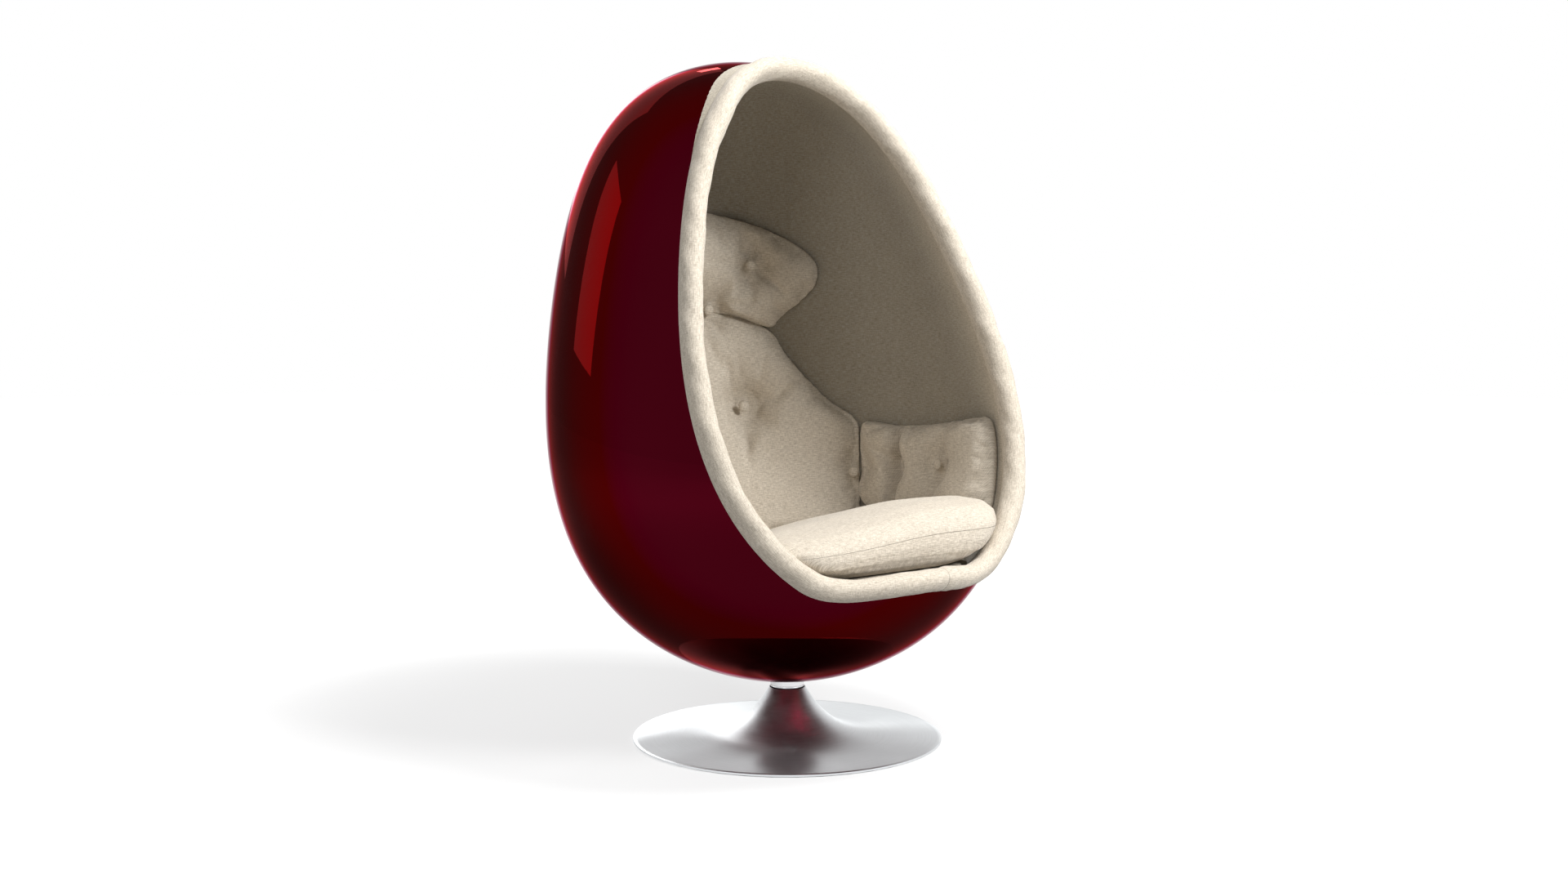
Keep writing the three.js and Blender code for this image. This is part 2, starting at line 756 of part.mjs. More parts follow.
function ballastGeometry() {
  const boreRadius = columnRadius + fitGap;
  const edgeRadius = baseRadius - baseSheet - fitGap;
  const top = flareRadii.slice(1, -1).map((radius) => {
    const [across, height] = flarePoint(radius, baseSheet + fitGap);
    return [across, Math.min(height, ballastTop)];
  }).filter(([across]) => across > flangeRadius);
  const edgeTop = rimTop - baseSheet - fitGap;
  const profile = [
    [boreRadius, plateFoot], [edgeRadius, plateFoot], [edgeRadius, edgeTop], ...top.reverse(),
    [boreRadius, ballastTop], [boreRadius, plateFoot],
  ];
  const holeFoot = ballastTop + fitGap + flangeThickness - flangeBoltLength - fitGap;
  return cut(turned(profile, baseSides), ...boltHoles(flangeBoltCircle, holeFoot, ballastTop + cutOverrun));
}

function onCircle(radius, count, i) {
  const angle = (2 * Math.PI * (i + 1 / 2)) / count;
  return [radius * Math.cos(angle), radius * Math.sin(angle)];
}

function boltHoles(circle, bottom, top) {
  return Array.from({ length: boltCount }, (unused, i) => {
    const [x, y] = onCircle(circle, boltCount, i);
    return disc(boltRadius + fitGap, bottom, top, boltSides).translate(x, y, 0);
  });
}

function columnGeometry() {
  const seat = ballastTop + fitGap;
  const flangeTop = seat + flangeThickness;
  const profile = [
    [columnBore, columnFoot], [columnRadius, columnFoot], [columnRadius, seat], [flangeRadius, seat],
    [flangeRadius, flangeTop], [columnRadius, flangeTop], [columnRadius, columnTop], [columnBore, columnTop],
    [columnBore, columnFoot],
  ];
  return cut(turned(profile), ...boltHoles(flangeBoltCircle, seat - cutOverrun, flangeTop + cutOverrun));
}

// Swivel

const plateFootHeight = mountBlockTop + fitGap;

function spindleGeometry() {
  const grooveRadius = spindleRadius - ringGrooveDepth;
  const grooveTop = ringGrooveHeight + ringGrooveWidth;
  const plateTop = plateFootHeight + spindlePlateThickness;
  const profile = [
    [0, columnFoot], [spindleRadius, columnFoot], [spindleRadius, ringGrooveHeight],
    [grooveRadius, ringGrooveHeight], [grooveRadius, grooveTop], [spindleRadius, grooveTop],
    [spindleRadius, plateFootHeight],
    [spindlePlateRadius, plateFootHeight], [spindlePlateRadius, plateTop], [0, plateTop],
  ];
  const holes = boltHoles(plateBoltCircle, plateFootHeight - cutOverrun, plateTop + cutOverrun);
  return cut(turned(profile), ...holes);
}

function collarGeometry() {
  const bottom = columnTop + fitGap + washerThickness + fitGap;
  const roughTop = highestUnderside(collarRadius, 0) + cutOverrun;
  const rough = disc(collarRadius, bottom, roughTop);
  const bore = disc(spindleRadius + fitGap, bottom - cutOverrun, roughTop + cutOverrun);
  return cut(rough, wholeEgg(0).translate(0, 0, -fitGap), bore);
}

function mountBlockGeometry() {
  const bottom = mountBlockTop - 2 * cutOverrun;
  const rough = common(disc(mountBlockRadius, bottom, mountBlockTop), wholeEgg(shellWall / 2));
  const raisedShell = uncutShell.clone().translate(0, 0, fitGap);
  const bore = disc(spindleRadius + fitGap, bottom, mountBlockTop + cutOverrun);
  const holeFoot = plateFootHeight + spindlePlateThickness - plateBoltLength - fitGap;
  return cut(rough, raisedShell, bore, ...boltHoles(plateBoltCircle, holeFoot, mountBlockTop + cutOverrun));
}

function boltGeometry(length) {
  const head = disc(boltHeadRadius, fitGap, fitGap + boltHeadHeight, hexSides);
  return join(head, disc(boltRadius, -length, boltHeadHeight / 2, boltSides));
}

// Assembly

const materials = {
  lacquer: { color: 0x5a0512, roughness: 0.08, metalness: 0 },
  linen: { color: 0xc9bba4, roughness: 0.9, metalness: 0 },
  foam: { color: 0x8f836f, roughness: 0.95, metalness: 0 },
  plywood: { color: 0xb98d5c, roughness: 0.7, metalness: 0 },
  brushed: { color: 0xa7a8a6, roughness: 0.35, metalness: 1 },
  polished: { color: 0xd8d9db, roughness: 0.12, metalness: 1 },
  castIron: { color: 0x35363a, roughness: 0.7, metalness: 0.8 },
  steel: { color: 0x8b8f94, roughness: 0.4, metalness: 1 },
  nylon: { color: 0x1d1d1f, roughness: 0.5, metalness: 0 },
  felt: { color: 0x161617, roughness: 0.95, metalness: 0 },
};

const chair = new THREE.Group();
const base = new THREE.Group();
const pod = new THREE.Group();
const cushionGroup = new THREE.Group();
chair.add(base, pod);
pod.add(cushionGroup);

function addPiece(group, name, geometry, material) {
  const mesh = new THREE.Mesh(geometry, new THREE.MeshStandardMaterial(materials[material]));
  mesh.name = name;
  group.add(mesh);
  return mesh;
}

function addBolts(group, name, circle, height, length) {
  for (let i = 0; i < boltCount; i++) {
    const [x, y] = onCircle(circle, boltCount, i);
    addPiece(group, `${name}_${i + 1}`, boltGeometry(length), 'steel').position.set(x, y, height);
  }
}

function addBushes() {
  const inner = spindleRadius + fitGap;
  const outer = columnBore - fitGap;
  const lowerFoot = ringGrooveHeight + ringGrooveWidth + fitGap;
  const upperFoot = columnTop - upperBushDrop - bushLength;
  addPiece(base, 'lower_bush', ring(inner, outer, lowerFoot, lowerFoot + bushLength), 'nylon');
  addPiece(base, 'upper_bush', ring(inner, outer, upperFoot, upperFoot + bushLength), 'nylon');
}

function addBase() {
  addPiece(base, 'floor_felt', disc(feltRadius, 0, feltThickness, baseSides), 'felt');
  addPiece(base, 'ballast', ballastGeometry(), 'castIron');
  addPiece(base, 'base_trumpet', trumpetGeometry(), 'brushed');
  addPiece(base, 'column', columnGeometry(), 'steel');
  addBushes();
  const washerFoot = columnTop + fitGap;
  const washerTop = washerFoot + washerThickness;
  const washer = ring(spindleRadius + fitGap, washerRadius, washerFoot, washerTop);
  addPiece(base, 'thrust_washer', washer, 'nylon');
  addBolts(base, 'flange_bolt', flangeBoltCircle, ballastTop + fitGap + flangeThickness, flangeBoltLength);
}

function addSwivel() {
  addPiece(pod, 'spindle', spindleGeometry(), 'steel');
  const ringInner = spindleRadius - ringGrooveDepth + fitGap;
  const ringFoot = ringGrooveHeight + fitGap;
  const ringTop = ringGrooveHeight + ringGrooveWidth - fitGap;
  addPiece(pod, 'retaining_ring', ring(ringInner, ringRadius, ringFoot, ringTop), 'steel');
  addPiece(pod, 'swivel_collar', collarGeometry(), 'polished');
  addPiece(pod, 'mount_block', mountBlockGeometry(), 'plywood');
  addBolts(pod, 'plate_bolt', plateBoltCircle, plateFootHeight + spindlePlateThickness, plateBoltLength);
}

function addShell() {
  const bore = disc(shellBoreRadius, 0, mountBlockTop);
  addPiece(pod, 'outer_shell', cut(uncutShell, bore), 'lacquer');
  const liningHole = disc(liningHoleRadius, 0, mountBlockTop + liningDepth);
  addPiece(pod, 'lining', cut(wall(liningOutside, liningInside), liningHole), 'foam');
  addPiece(pod, 'lip_roll', skin(lipFrames.map(lipSection), true), 'linen');
}

function addSeat() {
  const foamFoot = -fitGap - foamThickness;
  addPiece(pod, 'seat_board', seatLayer(foamFoot - fitGap - boardThickness, boardThickness), 'plywood');
  addPiece(pod, 'seat_foam', seatLayer(foamFoot, foamThickness), 'foam');
  addPiece(cushionGroup, 'seat_cushion', cushionGeometry(), 'linen');
}

function addSidePad(name, side) {
  const facing = (places) => (side < 0 ? mirrored(places) : places);
  const foldDegrees = hipDegrees + sideSpan * sideFoldShare;
  const [button, seam, foldTop, foldFoot] = facing([
    sideButton, seamButton, [foldDegrees, sideTop], [foldDegrees, sideLow],
  ]);
  const [centre] = facing([[hipDegrees + sideSpan / 2, sideCentreHeight]]);
  const pulls = [...pullsAt(button, seam), crease(foldTop, foldFoot)];
  const pad = padGeometry(facing(sideOutline), centre, pulls);
  addPiece(pod, name, fitted(pad, pocketAt(button), pocketAt(seam)), 'linen');
}

function addPads() {
  const headPulls = [
    ...pullsAt(...bothSides(headButton, neckButton)),
    crease(headButton, neckButton), crease(opposite(headButton), opposite(neckButton)),
  ];
  const head = padGeometry(headOutline, [0, headCentreHeight], headPulls);
  const headPockets = bothSides(headButton, neckButton).map(pocketAt);
  addPiece(pod, 'head_pad', fitted(head, ...headPockets), 'linen');
  const backPulls = [
    ...pullsAt(...bothSides(neckButton, backButton, seamButton)),
    crease(backButton, seamButton), crease(opposite(backButton), opposite(seamButton)),
  ];
  const back = padGeometry(backOutline, [0, backCentreHeight], backPulls);
  const backPockets = bothSides(neckButton, backButton, seamButton).map(pocketAt);
  addPiece(pod, 'back_pad', fitted(back, ...backPockets), 'linen');
  addSidePad('side_pad_right', 1);
  addSidePad('side_pad_left', -1);
}

function addButtons() {
  const places = {
    head: headButton, neck: neckButton, back: backButton, seam: seamButton, side: sideButton,
  };
  Object.entries(places).forEach(([name, place]) => {
    [['right', place], ['left', opposite(place)]].forEach(([side, spot]) => {
      const { here, turn } = buttonFrame(spot);
      const button = addPiece(pod, `${name}_button_${side}`, buttonGeometry.clone(), 'linen');
      button.position.copy(here);
      button.quaternion.copy(turn);
    });
  });
}

addBase();
addSwivel();
addShell();
addSeat();
addPads();
addButtons();

export default chair;
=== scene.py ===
"""Pod chair: lacquered egg shell, upholstered inside, on a brushed trumpet base.
Metres, +Z up, front at -Y."""
import json
import math

import bpy
import numpy as np
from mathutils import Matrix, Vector


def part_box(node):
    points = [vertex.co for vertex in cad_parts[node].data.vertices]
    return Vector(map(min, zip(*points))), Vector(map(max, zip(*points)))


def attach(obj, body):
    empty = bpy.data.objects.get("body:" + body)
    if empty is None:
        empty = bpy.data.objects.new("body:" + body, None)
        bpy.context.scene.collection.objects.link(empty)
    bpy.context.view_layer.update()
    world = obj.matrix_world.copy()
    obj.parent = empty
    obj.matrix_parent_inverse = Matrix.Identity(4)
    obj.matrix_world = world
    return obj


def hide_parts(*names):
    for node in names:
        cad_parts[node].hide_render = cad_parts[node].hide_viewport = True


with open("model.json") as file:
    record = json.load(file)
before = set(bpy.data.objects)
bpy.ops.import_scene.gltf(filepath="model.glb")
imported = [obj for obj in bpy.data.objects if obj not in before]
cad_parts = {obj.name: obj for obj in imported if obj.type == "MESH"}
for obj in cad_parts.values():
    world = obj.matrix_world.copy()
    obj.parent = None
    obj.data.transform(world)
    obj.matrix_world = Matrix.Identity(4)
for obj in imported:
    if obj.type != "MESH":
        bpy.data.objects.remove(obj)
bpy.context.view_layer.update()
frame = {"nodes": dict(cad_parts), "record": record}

# The egg and its opening, as the shell is cut
EGG_LENGTH = 1.201
EGG_HALF_WIDTH = 0.446
EGG_LEAN = math.radians(16.63)
EGG_AXIS = np.array([0, math.sin(EGG_LEAN), math.cos(EGG_LEAN)])
EGG_FOOT = np.array([0, -0.1234, 0.1341])
EGG_HEART = EGG_FOOT + 0.540 * EGG_AXIS
BULGE = (0.223, 0.132, -0.149)
SHELL_WALL = 0.005
LINING_DEPTH = 0.034
LINING_THICKNESS = 0.018
LINING_RIM_DEPTH = 0.0255
# Reach from the opening over which the lining's painted shade deepens to its full darkness.
PAINTED_SHADE_REACH = 0.14
OPENING_LEAN = math.radians(18.87)
OPENING_FACING = np.array([0, -math.cos(OPENING_LEAN), math.sin(OPENING_LEAN)])
OPENING_UP = np.array([0, math.sin(OPENING_LEAN), math.cos(OPENING_LEAN)])
OPENING_POINT = np.array([0, -0.212, 0.650])
CROWN_START, CROWN_REACH, CROWN_BACK = 1.140, 0.140, 0.027
SILL_HEIGHT, SILL_DROOP, SILL_REACH, SILL_CORNER = 0.337, 0.010, 0.150, 0.040
EDGE_CHORD = 1 / 13
COLUMN_CROWDING = 0.16
RIM_START, EDGE_START = 0.88, 0.78

# The roll round the opening
LIP_ACROSS, LIP_DEEP, LIP_INWARD, LIP_FORWARD = 0.020, 0.025, 0.009, 0.008
LIP_GAP = 0.0006
LIP_REAR = 0.0054
LIP_SEAM_TURN = math.radians(-85.2)

# Pads, by degrees about their own upright line, height, and depth from the shell
PAD_LINE = np.array([0, 0.040, 0])
PAD_THICKNESS = 0.062
PAD_GIRTH = 0.40

# The raked seat
SEAT_TILT = math.radians(5.5)
SEAT_FRONT = np.array([0, -0.346, 0.358])
SEAT_BACKWARD = np.array([0, math.cos(SEAT_TILT), -math.sin(SEAT_TILT)])
SEAT_UPWARD = np.array([0, math.sin(SEAT_TILT), math.cos(SEAT_TILT)])
CUSHION_HALF_WIDTH, CUSHION_DEPTH, CUSHION_THICKNESS = 0.330, 0.608, 0.108
SEAT_MIDDLE = SEAT_FRONT + CUSHION_DEPTH / 2 * SEAT_BACKWARD

# The trumpet base
BASE_RADIUS, NECK_RADIUS, NECK_TOP, RIM_TOP, RIM_LOW = 0.295, 0.0345, 0.099, 0.0056, 0.0018
FLARE_POWER = 4.8
BASE_SHEET = 0.002


# Mesh work

def active():
    return bpy.context.active_object


def edit():
    bpy.ops.object.mode_set(mode="EDIT")
    bpy.ops.mesh.select_mode(type="VERT")


def done():
    bpy.ops.object.mode_set(mode="OBJECT")


def places_of(piece):
    flat = np.empty(len(piece.data.vertices) * 3)
    piece.data.vertices.foreach_get("co", flat)
    return flat.reshape(-1, 3)


def press(piece, places):
    """Moves every point of a piece to its own place."""
    piece.data.vertices.foreach_set("co", np.asarray(places, np.float32).ravel())
    piece.data.update()


def outward(piece):
    """Merges doubled points and turns every face outwards."""
    only(piece)
    edit()
    bpy.ops.mesh.select_all(action="SELECT")
    bpy.ops.mesh.remove_doubles(threshold=1e-6)
    bpy.ops.mesh.normals_make_consistent(inside=False)
    done()


def only(piece):
    bpy.ops.object.select_all(action="DESELECT")
    piece.select_set(True)
    bpy.context.view_layer.objects.active = piece


def apply(piece, kind, **settings):
    only(piece)
    modifier = piece.modifiers.new(kind, kind)
    for name, value in settings.items():
        setattr(modifier, name, value)
    bpy.ops.object.modifier_apply(modifier=modifier.name)


def smooth(piece, degrees=None):
    only(piece)
    if degrees is None:
        bpy.ops.object.shade_smooth()
    else:
        bpy.ops.object.shade_smooth_by_angle(angle=math.radians(degrees))


def settle(piece, body, slot, material, *nodes):
    """Gives a finished piece its body and its finish, and hides the frame's nodes it stands for; the
    slot is not used.
    """
    piece.data.materials.clear()
    piece.data.materials.append(material)
    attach(piece, body)
    if nodes:
        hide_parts(*nodes)
    return piece


def turned(name, profile, steps=192):
    """Turned piece about Z: one point drawn out along its profile of radius and height, then spun."""
    bpy.ops.mesh.primitive_plane_add(size=0.01, location=(0, 0, 0))
    piece = active()
    piece.name = name
    edit()
    bpy.ops.mesh.select_all(action="SELECT")
    bpy.ops.mesh.merge(type="CENTER")
    bpy.ops.transform.translate(value=(profile[0][0], 0, profile[0][1]))
    for (r0, z0), (r1, z1) in zip(profile, profile[1:]):
        bpy.ops.mesh.extrude_region_move(TRANSFORM_OT_translate={"value": (r1 - r0, 0, z1 - z0)})
    bpy.ops.mesh.select_all(action="SELECT")
    bpy.ops.mesh.spin(steps=steps, angle=2 * math.pi, center=(0, 0, 0), axis=(0, 0, 1))
    done()
    outward(piece)
    return piece


def sheet(name, columns, rings):
    """Grid to be pressed into a closed form, with each point's column and ring from 0 to 1."""
    bpy.ops.mesh.primitive_grid_add(x_subdivisions=columns, y_subdivisions=rings, size=2)
    piece = active()
    piece.name = name
    x, y, _ = places_of(piece).T
    return piece, np.round((x + 1) / 2 * columns) / columns, np.round((y + 1) / 2 * rings) / rings


def section_at(section, share):
    """Point of a cross-section, by the share of its length."""
    steps = np.linalg.norm(np.diff(section, axis=0), axis=1)
    lengths = np.r_[0, np.cumsum(steps)]
    return (np.interp(share * lengths[-1], lengths, section[:, k]) for k in (0, 1))


def set_weave(piece, across, up):
    """Cloth coordinates in metres, one pair for each point, as the piece's UV map."""
    layer = piece.data.uv_layers.new(name="cloth")
    corner = np.empty(len(piece.data.loops), int)
    piece.data.loops.foreach_get("vertex_index", corner)
    pairs = np.stack([across[corner], up[corner]], axis=1)
    layer.data.foreach_set("uv", pairs.astype(np.float32).ravel())


def set_points(piece, name, values):
    attribute = piece.data.attributes.new(name, "FLOAT", "POINT")
    attribute.data.foreach_set("value", np.asarray(values, np.float32))


def set_seam(piece, distance):
    """Each point's distance from the nearest sewn seam, in metres, for the stitching."""
    set_points(piece, "seam", distance)


# The egg

def bulge(turn):
    c = np.cos(turn)
    return np.sin(turn) * (1 + BULGE[0] * c + BULGE[1] * c**2 + BULGE[2] * c**3)


FULL_BULGE = bulge(np.linspace(0, math.pi, 721)).max()


def in_egg(places, inset):
    """Whether places lie inside the egg at their own insets."""
    local = places - EGG_FOOT
    height = local @ EGG_AXIS
    share = np.clip((height - inset) / (EGG_LENGTH - 2 * inset), 0, 1)
    away = np.linalg.norm(local - height[:, None] * EGG_AXIS, axis=1)
    radius = (EGG_HALF_WIDTH - inset) * bulge(np.arccos(1 - 2 * share)) / FULL_BULGE
    return (away < radius) & (share > 0) & (share < 1)


def crown_share(places):
    return np.maximum(places[:, 2] - CROWN_START, 0) / CROWN_REACH


def opening_facing(places):
    facing = np.tile(OPENING_FACING, (len(places), 1))
    facing[:, 2] += 2 * CROWN_BACK * crown_share(places) / CROWN_REACH
    return facing


def past_opening(places):
    """How far places lie past the opening: negative where the shell stays."""
    bend = CROWN_BACK * crown_share(places) ** 2
    ahead = (places - OPENING_POINT) @ OPENING_FACING + bend
    ahead /= np.linalg.norm(opening_facing(places), axis=1)
    above = places[:, 2] - SILL_HEIGHT + SILL_DROOP * (places[:, 0] / SILL_REACH) ** 2
    blend = np.maximum(SILL_CORNER - abs(ahead - above), 0)
    return np.minimum(ahead, above) - blend**2 / (4 * SILL_CORNER)


def reach(origins, ways, allowed, longest=1.3, steps=65, halvings=18):
    """Last places along rays where a test still holds."""
    near = np.zeros(len(ways))
    going = np.ones(len(ways), bool)
    step = longest / steps
    for _ in range(steps):
        going &= allowed(origins + (near + step)[:, None] * ways)
        near[going] += step
    far = near + step
    for _ in range(halvings):
        middle = (near + far) / 2
        passes = allowed(origins + middle[:, None] * ways)
        near = np.where(passes, middle, near)
        far = np.where(passes, far, middle)
    return origins + near[:, None] * ways


def egg_place(tilt, turn, inset):
    """Places on an inset egg by their direction from its heart: tilt 0 looks straight back."""
    ways = -np.cos(tilt)[:, None] * OPENING_FACING
    ways = ways + (np.sin(tilt) * np.cos(turn))[:, None] * np.array([1, 0, 0])
    ways = ways + (np.sin(tilt) * np.sin(turn))[:, None] * OPENING_UP
    origins = np.tile(EGG_HEART, (len(tilt), 1))
    return reach(origins, ways, lambda places: in_egg(places, inset), longest=0.9, steps=1, halvings=30)


def halved(test, count, far):
    """Largest value for each of a count of columns at which a test still holds."""
    near, far = np.zeros(count), np.full(count, float(far))
    for _ in range(26):
        middle = (near + far) / 2
        holds = test(middle)
        near, far = np.where(holds, middle, near), np.where(holds, far, middle)
    return near


def edge_tilt(turn, inset=0.0, set_back=0.0):
    """Tilt at which a column of the inset egg meets the opening's edge."""
    def behind_edge(tilt):
        return past_opening(egg_place(tilt, turn, inset)) < -set_back

    return halved(behind_edge, len(turn), math.pi)


def edge_places(turn):
    """The opening's edge, where the shell runs flatter than the egg, on a chord just inside it."""
    tilt = edge_tilt(turn)
    behind = egg_place(tilt * (1 - EDGE_CHORD), turn, 0.0)
    ahead = egg_place(tilt * (1 + EDGE_CHORD), turn, 0.0) - behind
    share = halved(lambda part: past_opening(behind + part[:, None] * ahead) < 0, len(turn), 1)
    return behind + share[:, None] * ahead


def column_turn(share):
    """Turn of a column: closer together towards the crown, further apart towards the sill."""
    turn = 2 * math.pi * share
    return turn + COLUMN_CROWDING * np.cos(turn)


def bowl(name, columns, rings, depth, rim_depth, set_back=0.0):
    """Open bowl on the egg: its depth from the egg's outside may change towards its rim."""
    piece, column, share = sheet(name, columns, rings)
    column = np.round(column * columns).astype(int) % columns
    turns = column_turn(np.arange(columns) / columns)
    tilts = edge_tilt(turns, rim_depth, set_back)
    inset = depth + (rim_depth - depth) * np.clip((share - RIM_START) / (1 - RIM_START), 0, 1) ** 2
    places = egg_place(tilts[column] * share, turns[column], inset)
    if rim_depth == 0:
        drawn = edge_places(turns) - egg_place(tilts, turns, 0.0)
        near_edge = np.clip((share - EDGE_START) / (1 - EDGE_START), 0, 1) ** 2
        places += near_edge[:, None] * drawn[column]
    press(piece, places)
    outward(piece)
    return piece


# Finishes

def finish(name, roughness, metallic=0.0, **sockets):
    """New finish with its even values on the shader's own sockets."""
    material = bpy.data.materials.new(name)
    material.use_nodes = True
    shader = material.node_tree.nodes["Principled BSDF"]
    shader.inputs["Roughness"].default_value = roughness
    shader.inputs["Metallic"].default_value = metallic
    for socket, value in sockets.items():
        shader.inputs[socket.replace("_", " ")].default_value = value
    return material, material.node_tree, shader


def node(tree, kind, links=None, **settings):
    """Node with its settings, and its inputs set or linked by name or number."""
    made = tree.nodes.new(kind)
    for name, value in settings.items():
        setattr(made, name, value)
    for key, value in (links or {}).items():
        if isinstance(value, bpy.types.NodeSocket):
            tree.links.new(value, made.inputs[key])
        else:
            made.inputs[key].default_value = value
    return made


def noise(tree, where, scale, detail=3.0, roughness=0.5):
    made = node(tree, "ShaderNodeTexNoise", {"Vector": where, "Scale": scale, "Detail": detail,
                                             "Roughness": roughness})
    return made.outputs["Fac"]


def ramp(tree, fac, *stops):
    """Colour ramp with stops of position and colour."""
    made = node(tree, "ShaderNodeValToRGB", {"Fac": fac})
    elements = made.color_ramp.elements
    while len(elements) < len(stops):
        elements.new(0.5)
    for element, (position, colour) in zip(elements, stops):
        element.position = position
        element.color = (*colour, 1)
    return made.outputs["Color"]


def sums(tree, operation, first, second=0.0, third=0.0):
    links = {0: first, 1: second, 2: third}
    return node(tree, "ShaderNodeMath", links, operation=operation).outputs[0]


def scaled(tree, where, scale):
    return node(tree, "ShaderNodeMapping", {"Vector": where, "Scale": scale}).outputs["Vector"]


def mix(tree, fac, first, second, blend="MIX"):
    made = node(tree, "ShaderNodeMix", data_type="RGBA", blend_type=blend)
    for key, value in ((0, fac), (6, first), (7, second)):
        if isinstance(value, bpy.types.NodeSocket):
            tree.links.new(value, made.inputs[key])
        else:
            made.inputs[key].default_value = value if key == 0 else (*value, 1)
    return made.outputs[2]


def object_place(tree):
    return node(tree, "ShaderNodeTexCoord").outputs["Object"]


def length_of(tree, vector):
    return node(tree, "ShaderNodeVectorMath", {0: vector}, operation="LENGTH").outputs["Value"]


LINEN_SHADE = (0.36, 0.305, 0.238)
LINEN_BODY = (0.56, 0.495, 0.405)
LINEN_LIGHT = (0.76, 0.695, 0.595)
THREAD_SCALE = 170.0
SLUBS_ACROSS, SLUBS_UP = (84, 560, 1), (620, 120, 1)
SEAM_HALF = 0.0009
STITCH_PITCH = 0.0042


def linen(name, painted_shade_tone=1.0):
    """Slubby linen cloth: crossing threads, streaks along both ways, mottling, and a sewn seam.
    Inside the shell it carries painted shade: a deeper, slightly warmer tone away from the rim."""
    material, tree, shader = finish(name, 0.86, Sheen_Weight=0.22, Sheen_Roughness=0.45,
                                    Specular_IOR_Level=0.28)
    cloth = node(tree, "ShaderNodeUVMap", uv_map="cloth").outputs["UV"]
    place = object_place(tree)
    wander = node(tree, "ShaderNodeTexNoise", {"Vector": cloth, "Scale": 160.0, "Detail": 2.0})
    bent = node(tree, "ShaderNodeVectorMath", {0: wander.outputs["Color"], 1: (0.0012, 0.0012, 0)},
                operation="MULTIPLY").outputs[0]
    threads = node(tree, "ShaderNodeVectorMath", {0: cloth, 1: bent}, operation="ADD").outputs[0]
    bands = []
    for direction in ("X", "Y"):
        bands.append(node(tree, "ShaderNodeTexWave", {"Vector": threads, "Scale": THREAD_SCALE},
                          bands_direction=direction).outputs["Fac"])
    weave = sums(tree, "MULTIPLY", bands[0], bands[1])
    slub_across = noise(tree, scaled(tree, cloth, SLUBS_ACROSS), 1.0, 3.0, 0.65)
    slub_up = noise(tree, scaled(tree, cloth, SLUBS_UP), 1.0, 3.0, 0.65)
    slubs = sums(tree, "MULTIPLY_ADD", slub_across, 1.2, sums(tree, "MULTIPLY", slub_up, 0.8))
    grain = sums(tree, "MULTIPLY_ADD", weave, 0.16, sums(tree, "MULTIPLY", slubs, 0.62))
    mottle = noise(tree, place, 18.0, 4.0, 0.62)
    shade = sums(tree, "MULTIPLY_ADD", mottle, 0.10, sums(tree, "SUBTRACT", grain, 0.16))
    colour = ramp(tree, shade, (0.32, LINEN_SHADE), (0.52, LINEN_BODY), (0.72, LINEN_LIGHT))
    height = sums(tree, "MULTIPLY_ADD", slubs, 0.8, sums(tree, "MULTIPLY", weave, 0.7))
    seam = node(tree, "ShaderNodeAttribute", attribute_name="seam").outputs["Fac"]
    gap = sums(tree, "SUBTRACT", 1.0, sums(tree, "DIVIDE", sums(tree, "ABSOLUTE", seam), SEAM_HALF))
    groove = sums(tree, "MAXIMUM", gap, 0.0)
    along = node(tree, "ShaderNodeSeparateXYZ", {"Vector": place})
    run = sums(tree, "ADD", along.outputs["X"], along.outputs["Z"])
    beat = sums(tree, "PINGPONG", run, STITCH_PITCH / 2)
    stitch = sums(tree, "GREATER_THAN", beat, STITCH_PITCH * 0.12)
    stitched = sums(tree, "MULTIPLY", groove, sums(tree, "MULTIPLY_ADD", stitch, 0.35, 0.5))
    colour = mix(tree, stitched, colour, tuple(c * 0.45 for c in LINEN_SHADE))
    height = sums(tree, "MULTIPLY_ADD", groove, -2.4, height)
    # Painted shade: by the rim attribute the cloth darkens away from the rim, down to the painted shade
    # tone deep inside the shell.
    if painted_shade_tone < 1:
        rim = node(tree, "ShaderNodeAttribute", attribute_name="rim").outputs["Fac"]
        tone = sums(tree, "MULTIPLY_ADD", rim, 1 - painted_shade_tone, painted_shade_tone)
        warmer = sums(tree, "MULTIPLY", tone, 0.97)
        painted_shade = node(tree, "ShaderNodeCombineXYZ", {"X": tone, "Y": tone, "Z": warmer})
        colour = mix(tree, 1.0, colour, painted_shade.outputs[0], "MULTIPLY")
    tree.links.new(colour, shader.inputs["Base Color"])
    bump = node(tree, "ShaderNodeBump", {"Strength": 0.55, "Distance": 0.0007, "Height": height})
    tree.links.new(bump.outputs[0], shader.inputs["Normal"])
    fuzz = sums(tree, "MULTIPLY_ADD", slubs, 0.08, 0.80)
    tree.links.new(fuzz, shader.inputs["Roughness"])
    return material


LACQUER_DEEP = (0.044, 0.0008, 0.0044)
LACQUER_CLEAR = (0.054, 0.0012, 0.0056)
LACQUER_EDGE = (0.42, 0.048, 0.105, 1)


def lacquer():
    """Deep red lacquer with a faint flow in its surface and a few rubbed spots."""
    material, tree, shader = finish("red_lacquer", 0.03, metallic=0.96, IOR=1.24)
    shader.inputs["Specular Tint"].default_value = LACQUER_EDGE
    place = object_place(tree)
    cloud = noise(tree, place, 2.2, 2.0, 0.5)
    colour = ramp(tree, cloud, (0.3, LACQUER_DEEP), (0.7, LACQUER_CLEAR))
    tree.links.new(colour, shader.inputs["Base Color"])
    rubbed = noise(tree, place, 9.0, 5.0, 0.65)
    tree.links.new(sums(tree, "MULTIPLY_ADD", rubbed, 0.02, 0.015), shader.inputs["Roughness"])
    flow = noise(tree, place, 55.0, 2.0, 0.4)
    bump = node(tree, "ShaderNodeBump", {"Strength": 0.03, "Distance": 0.0004, "Height": flow})
    tree.links.new(bump.outputs[0], shader.inputs["Normal"])
    return material


